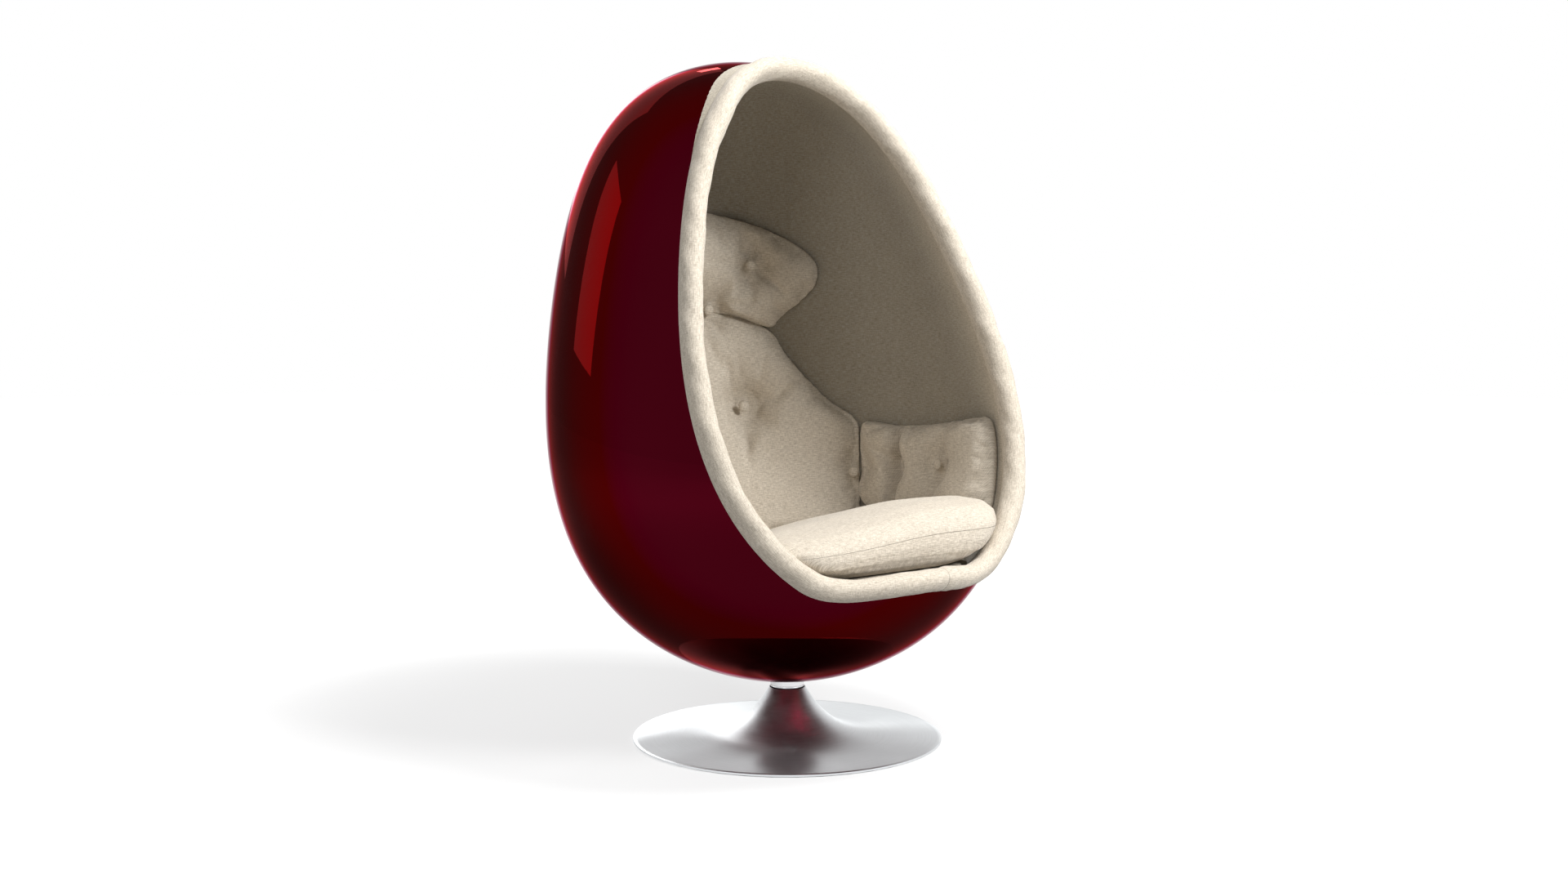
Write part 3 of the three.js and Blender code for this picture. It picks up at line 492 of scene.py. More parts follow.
def brushed(name, tint, roughness, rings=900.0, anisotropic=0.7):
    """Metal turned and brushed in rings about Z."""
    material, tree, shader = finish(name, roughness, 0.98, Anisotropic=anisotropic)
    place = object_place(tree)
    apart = node(tree, "ShaderNodeSeparateXYZ", {"Vector": place})
    flat = node(tree, "ShaderNodeCombineXYZ", {"X": apart.outputs["X"], "Y": apart.outputs["Y"]})
    raised = sums(tree, "MULTIPLY", apart.outputs["Z"], 1.3)
    radial = sums(tree, "ADD", length_of(tree, flat.outputs[0]), raised)
    turn = sums(tree, "ARCTAN2", apart.outputs["Y"], apart.outputs["X"])
    track = node(tree, "ShaderNodeCombineXYZ", {"X": sums(tree, "MULTIPLY", radial, rings),
                                                "Y": sums(tree, "MULTIPLY", turn, 1.6)})
    scratches = noise(tree, track.outputs[0], 1.0, 4.0, 0.7)
    smears = noise(tree, place, 7.0, 3.0, 0.55)
    darker = tuple(0.72 * c for c in tint)
    colour = ramp(tree, sums(tree, "MULTIPLY_ADD", scratches, 0.6, sums(tree, "MULTIPLY", smears, 0.4)),
                  (0.25, darker), (0.75, tint))
    tree.links.new(colour, shader.inputs["Base Color"])
    rough = sums(tree, "MULTIPLY_ADD", scratches, 0.16, roughness - 0.08)
    tree.links.new(rough, shader.inputs["Roughness"])
    bump = node(tree, "ShaderNodeBump", {"Strength": 0.12, "Distance": 0.0002, "Height": scratches})
    tree.links.new(bump.outputs[0], shader.inputs["Normal"])
    if anisotropic:
        tangent = node(tree, "ShaderNodeTangent", direction_type="RADIAL", axis="Z")
        tree.links.new(tangent.outputs[0], shader.inputs["Tangent"])
    return material


def mottled(name, dark, light, scale, roughness, depth=0.0004, metallic=0.0, stretch=(1, 1, 1)):
    """Plain material with its own grain, for what lies under the cloth and in the base."""
    material, tree, shader = finish(name, roughness, metallic)
    place = scaled(tree, object_place(tree), stretch)
    grain = noise(tree, place, scale, 5.0, 0.62)
    tree.links.new(ramp(tree, grain, (0.32, dark), (0.68, light)), shader.inputs["Base Color"])
    rough = sums(tree, "MULTIPLY_ADD", grain, 0.2, roughness - 0.1)
    tree.links.new(rough, shader.inputs["Roughness"])
    bump = node(tree, "ShaderNodeBump", {"Strength": 0.4, "Distance": depth, "Height": grain})
    tree.links.new(bump.outputs[0], shader.inputs["Normal"])
    return material


RED = lacquer()
LINEN = linen("linen")
# The lining's linen carries painted shade, darkened to about half its tone deep inside the shell.
LINING_LINEN = linen("lining_linen", painted_shade_tone=0.51)
METAL = brushed("brushed_metal", (0.86, 0.885, 0.90), 0.31, anisotropic=0.85)
COLLAR = brushed("bright_collar", (0.82, 0.82, 0.83), 0.16, rings=1500.0, anisotropic=0.4)
UNDER_FINISHES = {
    "plywood": mottled("plywood", (0.36, 0.22, 0.11), (0.55, 0.37, 0.20), 30, 0.6, stretch=(1, 9, 30)),
    "brushed": METAL,
    "polished": COLLAR,
    "cast_iron": mottled("cast_iron", (0.035, 0.035, 0.037), (0.07, 0.07, 0.072), 160, 0.62, 0.0008),
    "steel": mottled("zinc_steel", (0.42, 0.42, 0.43), (0.60, 0.60, 0.60), 90, 0.38, metallic=1.0),
    "nylon": mottled("nylon", (0.055, 0.055, 0.06), (0.085, 0.085, 0.09), 60, 0.5),
    "felt": mottled("felt", (0.012, 0.012, 0.013), (0.035, 0.035, 0.037), 700, 0.95, 0.0006),
    "lacquer": RED,
}


# Shell, lining and lip

def make_shell():
    shell = bowl("shell", 256, 96, 0.0, 0.0)
    apply(shell, "SOLIDIFY", thickness=SHELL_WALL, offset=-1.0)
    smooth(shell, 40)
    return settle(shell, "pod", "lacquer", RED, "outer_shell")


LINING_SEAMS = (-118, -59, 0, 59, 118)
SEAMS_ABOVE = 0.3


def pad_coordinates(places):
    """Cloth coordinates round the pads' upright line: across and up, in metres."""
    local = places - PAD_LINE
    return np.arctan2(local[:, 0], local[:, 1]) * PAD_GIRTH, places[:, 2]


def make_lining():
    lining = bowl("padded_lining", 224, 90, LINING_DEPTH, LINING_RIM_DEPTH, LIP_REAR + LIP_GAP)
    apply(lining, "SOLIDIFY", thickness=LINING_THICKNESS, offset=1.0)
    smooth(lining, 40)
    places = places_of(lining)
    across, up = pad_coordinates(places)
    set_weave(lining, across, up)
    sewn = np.array([abs(across - PAD_GIRTH * math.radians(d)) for d in LINING_SEAMS])
    set_seam(lining, np.where(up > SEAMS_ABOVE, sewn.min(axis=0), 1.0))
    # Painted shade: the rim attribute is 1 at the opening and falls to 0 deeper in, where the lining is
    # painted darker.
    set_points(lining, "rim", np.clip(1 + past_opening(places) / PAINTED_SHADE_REACH, 0, 1) ** 2)
    return settle(lining, "pod", "foam", LINING_LINEN, "lining")


def lip_frames(turns):
    """Place, centre, inward and forward of the roll at each turn round the opening."""
    edge = edge_places(turns)
    ahead = np.roll(edge, -1, axis=0) - np.roll(edge, 1, axis=0)
    ahead /= np.linalg.norm(ahead, axis=1)[:, None]
    inward = np.cross(opening_facing(edge), ahead)
    inward -= (inward * ahead).sum(axis=1)[:, None] * ahead
    inward /= np.linalg.norm(inward, axis=1)[:, None]
    forward = np.cross(ahead, inward)
    centre = edge + LIP_INWARD * inward + LIP_FORWARD * forward
    return centre, inward, forward


LIP_FRAMES = lip_frames(column_turn(np.arange(240) / 240))


def lip_section():
    """The roll's section, inward and forward of the edge, from its inner flank to the shell's wall."""
    inner = -math.asin((LIP_REAR + LIP_FORWARD) / LIP_DEEP)
    outer = math.pi + math.asin(LIP_FORWARD / LIP_DEEP)
    arc = [(LIP_INWARD + LIP_ACROSS * math.cos(a), LIP_FORWARD + LIP_DEEP * math.sin(a))
           for a in np.linspace(inner, outer, 40)]
    heel = [(-0.0094, -0.0013), (-0.0078, -0.0023), (-0.0055, -0.0028), (-0.003, -0.0029),
            (-0.0012, -0.0026), (-LIP_GAP, -0.0016)]
    gap = [(-LIP_GAP, LIP_GAP), (SHELL_WALL + LIP_GAP, LIP_GAP), (SHELL_WALL + LIP_GAP, -LIP_REAR)]
    return np.array([*arc, *heel, *gap, arc[0]])


def make_lip():
    columns, sides = 640, 52
    lip, column, side = sheet("padded_lip", columns, sides)
    column = np.round(column * columns).astype(int)
    inner, outer = section_at(lip_section(), side)
    turns = column_turn(np.arange(columns) / columns)
    frames = lip_frames(turns)
    centre, inward, forward = (values[column % columns] for values in frames)
    steps = np.linalg.norm(np.roll(frames[0], -1, axis=0) - frames[0], axis=1)
    along = np.r_[0, np.cumsum(steps)]
    around = along[column]
    angle = math.pi * (2 * side - 1)
    seam = around - along[np.abs(turns - (LIP_SEAM_TURN + 2 * math.pi)).argmin()]
    uneven = 0.0008 * np.sin(around * 21 + 1.3) + 0.0007 * np.sin(around * 47 + 2 * angle)
    uneven += 0.0004 * np.sin(around * 113 + 3 * angle + 0.7)
    seam_dip = 0.0016 * np.exp(-((seam / 0.004) ** 2))
    seam_swell = 0.0008 * np.exp(-(((seam - 0.012) / 0.009) ** 2))
    uneven -= seam_dip - seam_swell
    uneven *= np.clip(outer / 0.008, 0, 1)
    across, out = inner - LIP_INWARD, outer - LIP_FORWARD
    grown = 1 + uneven / np.maximum(np.hypot(across, out), 0.001)
    press(lip, centre + (across * grown)[:, None] * inward + (out * grown)[:, None] * forward)
    set_weave(lip, around, angle * (LIP_ACROSS + LIP_DEEP) / 2)
    set_seam(lip, np.abs(seam))
    outward(lip)
    smooth(lip, 50)
    return settle(lip, "pod", "linen", LINEN, "lip_roll")


# Pads

def pad_place(degrees, height, inset):
    """Places by degrees about the pads' line, height, and depth from the shell."""
    angle = np.radians(degrees)
    ways = np.stack([np.sin(angle), np.cos(angle), 0 * angle], axis=1)
    origins = np.stack([0 * angle, PAD_LINE[1] + 0 * angle, height + 0 * angle], axis=1)
    return reach(origins, ways, lambda places: in_egg(places, inset), longest=0.8, steps=1, halvings=26)


def closed_curve(corners, shares):
    """Smooth closed curve through corners, at shares of the way round."""
    corners = np.asarray(corners, float)
    count = len(corners)
    where = shares * count
    start = np.floor(where).astype(int)
    t = (where - start)[:, None]
    a, b, c, d = (corners[(start + k) % count] for k in (-1, 0, 1, 2))
    square = (2 * a - 5 * b + 4 * c - d) * t**2
    cube = (3 * b - a - 3 * c + d) * t**3
    return 0.5 * (2 * b + (c - a) * t + square + cube)


def line_distance(across, up, start, end):
    """Distance from a line on the cloth, and the share of the way along it."""
    start, end = np.asarray(start, float), np.asarray(end, float)
    way = end - start
    share = ((across - start[0]) * way[0] + (up - start[1]) * way[1]) / (way @ way)
    held = np.clip(share, 0, 1)
    return np.hypot(across - start[0] - held * way[0], up - start[1] - held * way[1]), held


def on_cloth(degrees, height):
    return math.radians(degrees) * PAD_GIRTH, height


def dimple(across, up, button, depth=0.026, spread=0.030, wide=0.075, wide_depth=0.012):
    """Pull of a covered button on its pad."""
    at = on_cloth(*button)
    away = np.hypot(across - at[0], up - at[1])
    return depth * np.exp(-((away / spread) ** 1.6)) + wide_depth * np.exp(-((away / wide) ** 2))


def fold(across, up, start, end, depth, width, taper=1.2):
    """Crease between two places on the cloth, deepest at its start; a negative depth is a ridge."""
    away, along = line_distance(across, up, on_cloth(*start), on_cloth(*end))
    return depth * np.exp(-((away / width) ** 2)) * (1 - along) ** taper


def folded(pull, across, up, start, *folds):
    """A pull with folds added from one place on the cloth, each by its end, depth, width and taper."""
    for end, depth, width, *taper in folds:
        pull = pull + fold(across, up, start, end, depth, width, *taper)
    return pull


# How the simulation holds a pad, and how its front keeps off the lining
FLOOR_GAP, FLOOR_EASE = 0.004, 0.004
FRONT_START, FRONT_FADE = 0.006, 0.012
HOLD_START, HOLD_FADE, HOLD_BUTTON = 0.016, 0.012, 0.011
HOLD_STEPS = 20
FOLD_SHARE, BUTTON_CLEAR, BUTTON_FADE = 0.8, 0.010, 0.026

PAD_SECTION = np.array([
    (0, 1), (0.25, 0.98), (0.45, 0.93), (0.62, 0.84), (0.77, 0.70), (0.88, 0.53), (0.955, 0.34),
    (1, 0.14), (0.985, 0.0), (0.95, -0.06), (0.6, -0.06), (0, -0.06),
])


def pad_depth(places):
    """Degrees, height and depth from the egg's outside of places on the pads."""
    local = places - PAD_LINE
    degrees = np.degrees(np.arctan2(local[:, 0], local[:, 1]))
    return degrees, places[:, 2], halved(lambda inset: in_egg(places, inset), len(places), 0.2)


def button_distance(across, up, buttons):
    away = np.full(len(across), 1.0)
    for degrees, height in buttons:
        for sign in (1, -1):
            at = on_cloth(sign * degrees, height)
            away = np.minimum(away, np.hypot(across - at[0], up - at[1]))
    return away


def swell(pad, pull, buttons, voxel, most):
    """Fills a pad as its padding does: cloth blown out from the pads' buttons, back and border."""
    apply(pad, "REMESH", mode="VOXEL", voxel_size=voxel)
    before = places_of(pad)
    degrees, height, depth = pad_depth(before)
    away = button_distance(np.radians(degrees) * PAD_GIRTH, height, buttons)
    behind = np.clip((LINING_DEPTH + HOLD_START - depth) / HOLD_FADE, 0, 1)
    held = np.maximum(behind, away < HOLD_BUTTON)
    group = pad.vertex_groups.new(name="held")
    for step in range(1, HOLD_STEPS + 1):
        points = np.nonzero(np.round(held * HOLD_STEPS) == step)[0].tolist()
        group.add(points, step / HOLD_STEPS, "REPLACE")
    only(pad)
    modifier = pad.modifiers.new("Cloth", "CLOTH")
    cloth = modifier.settings
    cloth.quality = 5
    cloth.mass = 0.2
    cloth.tension_stiffness = cloth.compression_stiffness = 18
    cloth.bending_stiffness = 1.0
    cloth.shrink_min = -0.06
    cloth.use_pressure = True
    cloth.uniform_pressure_force = 6.0
    cloth.effector_weights.gravity = 0
    cloth.vertex_group_mass = "held"
    for number in range(1, 21):
        bpy.context.scene.frame_set(number)
    bpy.ops.object.modifier_apply(modifier=modifier.name)
    bpy.context.scene.frame_set(1)
    moved = places_of(pad) - before
    length = np.linalg.norm(moved, axis=1)[:, None]
    press(pad, before + moved * np.minimum(1, most / np.maximum(length, 1e-6)))
    apply(pad, "SMOOTH", factor=0.5, iterations=5)
    apply(pad, "SUBSURF", levels=1, render_levels=1)
    settle_folds(pad, pull, buttons)


def settle_folds(pad, pull, buttons):
    """Puts the sewn folds back into a swollen pad, and keeps its front in front of the lining."""
    places = places_of(pad)
    degrees, height, depth = pad_depth(places)
    across = np.radians(degrees) * PAD_GIRTH
    away = button_distance(across, height, buttons)
    front = np.clip((depth - LINING_DEPTH - FRONT_START) / FRONT_FADE, 0, 1)
    clear_of_button = np.clip((away - BUTTON_CLEAR) / BUTTON_FADE, 0, 1)
    creased = depth - FOLD_SHARE * pull(across, height) * front * clear_of_button
    floor = LINING_DEPTH + FLOOR_GAP
    eased = floor + FLOOR_EASE * np.logaddexp(0, (creased - floor) / FLOOR_EASE)
    settled = depth + (eased - depth) * front
    press(pad, np.where((front > 0)[:, None], pad_place(degrees, height, settled), places))


def make_pad(name, outline, centre, pull, buttons, most, voxel=0.0055, columns=260, rings=120):
    """Sewn pad: an outline on the lining, a crowned section and its pulls, then swollen as cloth."""
    pad, column, ring = sheet(name, columns, rings)
    border = closed_curve(outline, column)
    radial, depth = section_at(PAD_SECTION, ring)
    flat = np.asarray(centre) + (border - np.asarray(centre)) * radial[:, None]
    degrees, height = flat.T
    across, up = np.radians(degrees) * PAD_GIRTH, height
    pulled = pull(across, up) * np.clip(depth, 0, 1)
    inset = LINING_DEPTH + PAD_THICKNESS * depth - pulled
    press(pad, pad_place(degrees, height, inset))
    outward(pad)
    swell(pad, pull, buttons, voxel, most)
    smooth(pad)
    set_weave(pad, *pad_coordinates(places_of(pad)))
    set_seam(pad, np.ones(len(pad.data.vertices)))
    return pad


HEAD_TOP, NECK_HEIGHT, NOTCH_HEIGHT, NOTCH = 1.030, 0.826, 0.781, 38
HIP, HIP_HEIGHT, BACK_LOW, SEAM_SPREAD = 66, 0.585, 0.318, 3.6
SIDE_LOW, SIDE_TOP, SIDE_FRONT, SIDE_FRONT_TOP = 0.395, 0.586, 124, 0.612
SEAM_HALF_GAP, SEAM_HALF_DEGREES = -0.003, -0.9

HEAD_BUTTON, NECK_BUTTON, BACK_BUTTON = (31.1, 0.911), (17.4, 0.816), (28.6, 0.613)
SEAM_BUTTON, SIDE_BUTTON = (66.9, 0.478), (101.6, 0.507)


def opposite(places):
    return [(-degrees, height) for degrees, height in places]


def symmetric(half):
    return [*half, *reversed(opposite(half[1:-1]))]


def between(low, high, shares):
    """Corners by their shares of the way from one (degrees, height) to another."""
    return [(low[0] + (high[0] - low[0]) * a, low[1] + (high[1] - low[1]) * b) for a, b in shares]


NECK_LINE = between((0, NOTCH_HEIGHT), (NOTCH, NECK_HEIGHT), [
    (0, 1), (0.24, 0.95), (0.5, 0.72), (0.76, 0.42), (1, 0)])
HEAD_SIDE = between((0, NOTCH_HEIGHT), (NOTCH, HEAD_TOP), [
    (0, 1), (0.44, 0.96), (0.86, 0.86), (1.22, 0.7), (1.4, 0.53), (1.39, 0.36), (1.25, 0.21),
    (1.08, 0.07)])
HEAD_OUTLINE = symmetric([
    *HEAD_SIDE, *((d, h + SEAM_HALF_GAP) for d, h in NECK_LINE[:0:-1]),
    (0, NECK_HEIGHT + SEAM_HALF_GAP)])
FLANK = between((NOTCH, HIP_HEIGHT), (HIP, NOTCH_HEIGHT), [
    (0, 0.97), (0.17, 0.72), (0.39, 0.47), (0.67, 0.21), (0.97, 0.02)])
SEAM_LINE = between((HIP, BACK_LOW), (HIP + SEAM_SPREAD, HIP_HEIGHT), [
    (0, 0.86), (0.25, 0.6), (0.7, 0.35), (1, 0.12)])
BACK_FLOOR = between((0, BACK_LOW), (HIP, HIP_HEIGHT), [(0.95, 0.02), (0.55, 0), (0, 0)])
BACK_OUTLINE = symmetric([
    *((d, h - SEAM_HALF_GAP) for d, h in NECK_LINE[:-1]), *FLANK,
    *((d - SEAM_HALF_DEGREES, h) for d, h in SEAM_LINE), *BACK_FLOOR])
SIDE_SEAM = between((HIP, SIDE_LOW), (HIP + SEAM_SPREAD, SIDE_TOP), [
    (0.62, 0.16), (0.3, 0.5), (0.2, 0.93)])
SIDE_UPPER = between((HIP, SIDE_LOW), (SIDE_FRONT, SIDE_TOP), [
    (0.08, 0.985), (0.22, 0.955), (0.4, 0.975), (0.6, 1.03)])
SIDE_EDGE = between((HIP, SIDE_LOW), (SIDE_FRONT, SIDE_FRONT_TOP), [
    (0.82, 0.97), (0.95, 0.99), (1.01, 0.88), (1.07, 0.5), (1.13, 0.14)])
SIDE_FLOOR = between((HIP, SIDE_LOW), (SIDE_FRONT, SIDE_TOP), [
    (1.05, 0.01), (0.75, 0), (0.45, 0), (0.18, 0.01)])
SIDE_OUTLINE = [*SIDE_SEAM, *SIDE_UPPER, *SIDE_EDGE, *SIDE_FLOOR]


def on_both_sides(pull):
    """The same pulls on the pad's left as on its right."""
    return lambda across, up: pull(across, up) + pull(-across, up)


def head_pull(across, up):
    pull = dimple(across, up, HEAD_BUTTON)
    pull = pull + dimple(across, up, NECK_BUTTON, depth=0.020, spread=0.024, wide_depth=0.006)
    pull = folded(pull, across, up, HEAD_BUTTON, ((33, 0.975), 0.008, 0.007),
                  ((43, 0.850), 0.008, 0.007), ((37, 0.845), -0.003, 0.010),
                  ((10, 0.918), 0.004, 0.009), ((47, 0.925), 0.005, 0.014))
    return folded(pull, across, up, NECK_BUTTON, ((9, 0.868), 0.009, 0.007),
                  ((24, 0.872), 0.008, 0.008), ((34, 0.842), 0.006, 0.008))


def back_pull(across, up):
    pull = dimple(across, up, BACK_BUTTON, wide=0.10)
    pull = pull + dimple(across, up, NECK_BUTTON, depth=0.022, spread=0.024, wide_depth=0.006)
    pull = pull + dimple(across, up, SEAM_BUTTON, depth=0.026, spread=0.026, wide_depth=0.008)
    pull = folded(pull, across, up, BACK_BUTTON, ((14, 0.665), 0.007, 0.012),
                  ((8, 0.640), 0.005, 0.011), ((46, 0.640), 0.007, 0.016),
                  ((42, 0.545), 0.006, 0.016), ((24, 0.665), 0.004, 0.014))
    pull = folded(pull, across, up, NECK_BUTTON, ((13, 0.740), 0.005, 0.014),
                  ((22, 0.745), 0.004, 0.013), ((30, 0.792), 0.003, 0.008))
    return folded(pull, across, up, (30, 0.796), ((37, 0.778), 0.006, 0.005, 0.4))


def side_pull(across, up):
    pull = dimple(across, up, SIDE_BUTTON, depth=0.024, wide=0.070, wide_depth=0.012)
    pull = pull + dimple(across, up, SEAM_BUTTON, depth=0.030, spread=0.028, wide_depth=0.010)
    pull = pull + dimple(across, up, (84, 0.487), depth=0.016, spread=0.026, wide_depth=0.004)
    pull = folded(pull, across, up, (83, 0.500), ((82, 0.62), 0.027, 0.012, 0.35),
                  ((84, 0.38), 0.027, 0.013, 0.35))
    pull = folded(pull, across, up, (82, 0.500), ((71, 0.545), 0.008, 0.010))
    pull = folded(pull, across, up, SIDE_BUTTON, ((101, 0.62), 0.008, 0.014, 0.5),
                  ((101, 0.38), 0.008, 0.016, 0.5))
    for degrees in (87, 92):
        pull = folded(pull, across, up, (degrees, 0.592), ((degrees + 3, 0.53), 0.004, 0.005))
    return pull


def make_pads():
    head = make_pad("head_cushion", HEAD_OUTLINE, (0, 0.912), on_both_sides(head_pull),
                    (HEAD_BUTTON, NECK_BUTTON), 0.018)
    settle(head, "pod", "linen", LINEN, "head_pad")
    back = make_pad("back_cushion", BACK_OUTLINE, (0, 0.560), on_both_sides(back_pull),
                    (NECK_BUTTON, BACK_BUTTON, SEAM_BUTTON), 0.016, 0.0062, 340, 150)
    settle(back, "pod", "linen", LINEN, "back_pad")
    buttons = (SEAM_BUTTON, SIDE_BUTTON)
    right = make_pad("side_cushion_right", SIDE_OUTLINE, (97, 0.512), side_pull, buttons, 0.009)
    settle(right, "pod", "linen", LINEN, "side_pad_right")
    left = make_pad("side_cushion_left", opposite(SIDE_OUTLINE), (-97, 0.512),
                    lambda across, up: side_pull(-across, up), buttons, 0.009)
    settle(left, "pod", "linen", LINEN, "side_pad_left")


# Covered buttons

BUTTON_RADIUS, BUTTON_EDGE, BUTTON_CROWN = 0.0108, 0.0035, 0.0045


def button_frame(place, sink):
    """Where a covered button sits and the way it faces, from its own place on the pads."""
    degrees, height = place
    inset = LINING_DEPTH + PAD_THICKNESS * 0.58 - sink
    steps = np.array([degrees, degrees + 1, degrees])
    heights = np.array([height, height, height + 0.004])
    here, beside, higher = pad_place(steps, heights, np.full(3, inset))
    facing = np.cross(beside - here, higher - here)
    return here, Vector(facing).normalized()


def make_buttons():
    dome = [(BUTTON_RADIUS * math.sin(a), BUTTON_EDGE + BUTTON_CROWN * math.cos(a))
            for a in np.linspace(0, math.pi / 2, 9)]
    under = [(BUTTON_RADIUS * 0.97, 0.0015), (BUTTON_RADIUS * 0.8, 0), (0, 0)]
    pattern = turned("button_pattern", [*dome, *under], 48)
    smooth(pattern)
    flat = places_of(pattern)
    places = (("head", HEAD_BUTTON, 0.003), ("neck", NECK_BUTTON, 0.009), ("back", BACK_BUTTON, 0.004),
              ("seam", SEAM_BUTTON, 0.009), ("side", SIDE_BUTTON, -0.001))
    for row, place, sink in places:
        for side, sign in (("right", 1), ("left", -1)):
            button = pattern.copy()
            button.data = pattern.data.copy()
            button.name = f"{row}_covered_button_{side}"
            bpy.context.collection.objects.link(button)
            here, facing = button_frame((sign * place[0], place[1]), sink)
            turn = facing.to_track_quat("Z", "Y")
            press(button, [Vector(here) + turn @ Vector(p) for p in flat])
            set_weave(button, flat[:, 0] + 0.1 * sign, flat[:, 1])
            set_seam(button, np.ones(len(flat)))
            settle(button, "pod", "linen", LINEN, f"{row}_button_{side}")
    bpy.data.objects.remove(pattern)


# Seat cushion

CUSHION_SECTION = np.array([
    (0, -0.02), (0.5, -0.02), (0.80, -0.01), (0.90, 0.03), (0.953, 0.11), (0.987, 0.25), (1.0, 0.40),
    (1.0, 0.53), (0.993, 0.63), (0.965, 0.77), (0.905, 0.89), (0.79, 0.965), (0.58, 0.995), (0, 1.0),
])
SEAM_RISE = 0.545
PADS_END, RIM_CLEARANCE, PAD_YIELD = -0.215, 0.002, 0.010
CORNER_ROUNDS = 12


def plan_radius(angle):
    """Rounded plan of the seat cushion, by the angle from straight back."""
    power = np.where(np.cos(angle) < 0, 5.5, 2.7)
    across = np.abs(np.sin(angle) / CUSHION_HALF_WIDTH) ** power
    along = np.abs(2 * np.cos(angle) / CUSHION_DEPTH) ** power
    return (across + along) ** (-1 / power)


def seat_free(places):
    """Inside the lining and the pads, and clear of the lip."""
    by_rim = LINING_RIM_DEPTH + RIM_CLEARANCE
    by_pads = LINING_DEPTH + PAD_THICKNESS - PAD_YIELD
    inset = np.where(places[:, 1] < PADS_END, by_rim, by_pads)
    ahead = past_opening(places) > -LIP_REAR
    clear = np.ones(len(places), bool)
    for centre, inward, forward in zip(*LIP_FRAMES):
        across = (places - centre) @ inward / (LIP_ACROSS + 0.001)
        deep = (places - centre) @ forward / (LIP_DEEP + 0.001)
        beside = np.linalg.norm(places - centre, axis=1) < 0.04
        clear &= ~(beside & (np.hypot(across, deep) < 1))
    return (in_egg(places, inset) | ahead) & clear


def cushion_lean(across):
    """How much the cushion is plumped up towards its right, and sat down towards its left."""
    return 1 + 0.70 * across - 0.9 * across**2


def crown_change(places, rise):
    """The crown stands higher at the right and falls away to the back, under the back pad."""
    behind = np.clip(places[:, 1] + 0.2, 0, 0.5)
    change = 0.007 * np.clip(places[:, 0] / 0.1, -0.3, 1) - 0.064 * behind - 0.3 * behind**2
    return change * np.clip((rise - 0.3) / 0.7, 0, 1)


def plan_limits(angles, rises):
    """How far the cushion may reach at each angle and rise."""
    turn, rise = (grid.ravel() for grid in np.meshgrid(angles, rises, indexing="ij"))
    ways = np.sin(turn)[:, None] * np.array([1, 0, 0]) + np.cos(turn)[:, None] * SEAT_BACKWARD
    middle = SEAT_MIDDLE + (CUSHION_THICKNESS * rise)[:, None] * SEAT_UPWARD
    far = reach(middle, ways, seat_free, longest=0.4, steps=40, halvings=12)
    return np.linalg.norm(far - middle, axis=1).reshape(len(angles), len(rises))


def make_seat_cushion():
    columns, rings, levels = 256, 110, 24
    cushion, column, ring = sheet("loose_seat_cushion", columns, rings)
    angles = 2 * math.pi * np.arange(columns + 1) / columns
    radial, rise = section_at(CUSHION_SECTION, 1 - ring)
    limits = plan_limits(angles[::2], np.linspace(0, 1, levels))
    limits = np.repeat(limits, 2, axis=0)[:-1]
    limits = np.minimum(limits, plan_radius(angles)[:, None])
    for _ in range(CORNER_ROUNDS):
        turns = limits[:-1]
        limits = (np.roll(turns, 1, axis=0) + 2 * turns + np.roll(turns, -1, axis=0)) / 4
        limits = np.vstack([limits, limits[:1]])
        limits[:, 1:-1] = (limits[:, :-2] + 2 * limits[:, 1:-1] + limits[:, 2:]) / 4
    at = np.round(column * columns).astype(int)
    level = np.clip(rise, 0, 0.999) * (levels - 1)
    under = level.astype(int)
    limit = limits[at, under] + (level - under) * (limits[at, under + 1] - limits[at, under])
    ways = np.sin(angles[at])[:, None] * np.array([1, 0, 0])
    ways = ways + np.cos(angles[at])[:, None] * SEAT_BACKWARD
    middle = SEAT_MIDDLE + (CUSHION_THICKNESS * rise)[:, None] * SEAT_UPWARD
    places = middle + (limit * radial)[:, None] * ways
    lift = (places - SEAT_FRONT) @ SEAT_UPWARD
    waves = 0.0025 * np.sin(places[:, 0] * 19 + 1) + 0.002 * np.sin(places[:, 1] * 23)
    waves *= (rise > 0.2) * np.sin(np.clip(rise, 0, 1) * math.pi / 2)
    raised = lift * (cushion_lean(places[:, 0]) - 1) + crown_change(places, rise) + waves
    press(cushion, places + raised[:, None] * SEAT_UPWARD)
    set_seam(cushion, (rise - SEAM_RISE) * CUSHION_THICKNESS)
    outward(cushion)
    smooth(cushion)
    places = places_of(cushion)
    set_weave(cushion, places[:, 0], places[:, 1] + 0.8 * places[:, 2])
    return settle(cushion, "cushion", "linen", LINEN, "seat_cushion")


def make_seat_deck():
    """Padded deck under the loose cushion, rounded off from the frame's seat foam."""
    deck = bpy.data.objects.new("padded_seat_deck", frame["nodes"]["seat_foam"].data.copy())
    bpy.context.collection.objects.link(deck)
    apply(deck, "REMESH", mode="VOXEL", voxel_size=0.009)
    apply(deck, "SMOOTH", factor=0.5, iterations=6)
    apply(deck, "SUBSURF", levels=1, render_levels=1)
    smooth(deck)
    places = places_of(deck)
    set_weave(deck, places[:, 0], places[:, 1] + 0.8 * places[:, 2])
    set_seam(deck, np.ones(len(places)))
    # Painted shade: the deck under the cushion is darkened like the lining partway in.
    set_points(deck, "rim", np.full(len(places), 0.6))
    return settle(deck, "pod", "foam", LINING_LINEN, "seat_foam")


# Base and collar

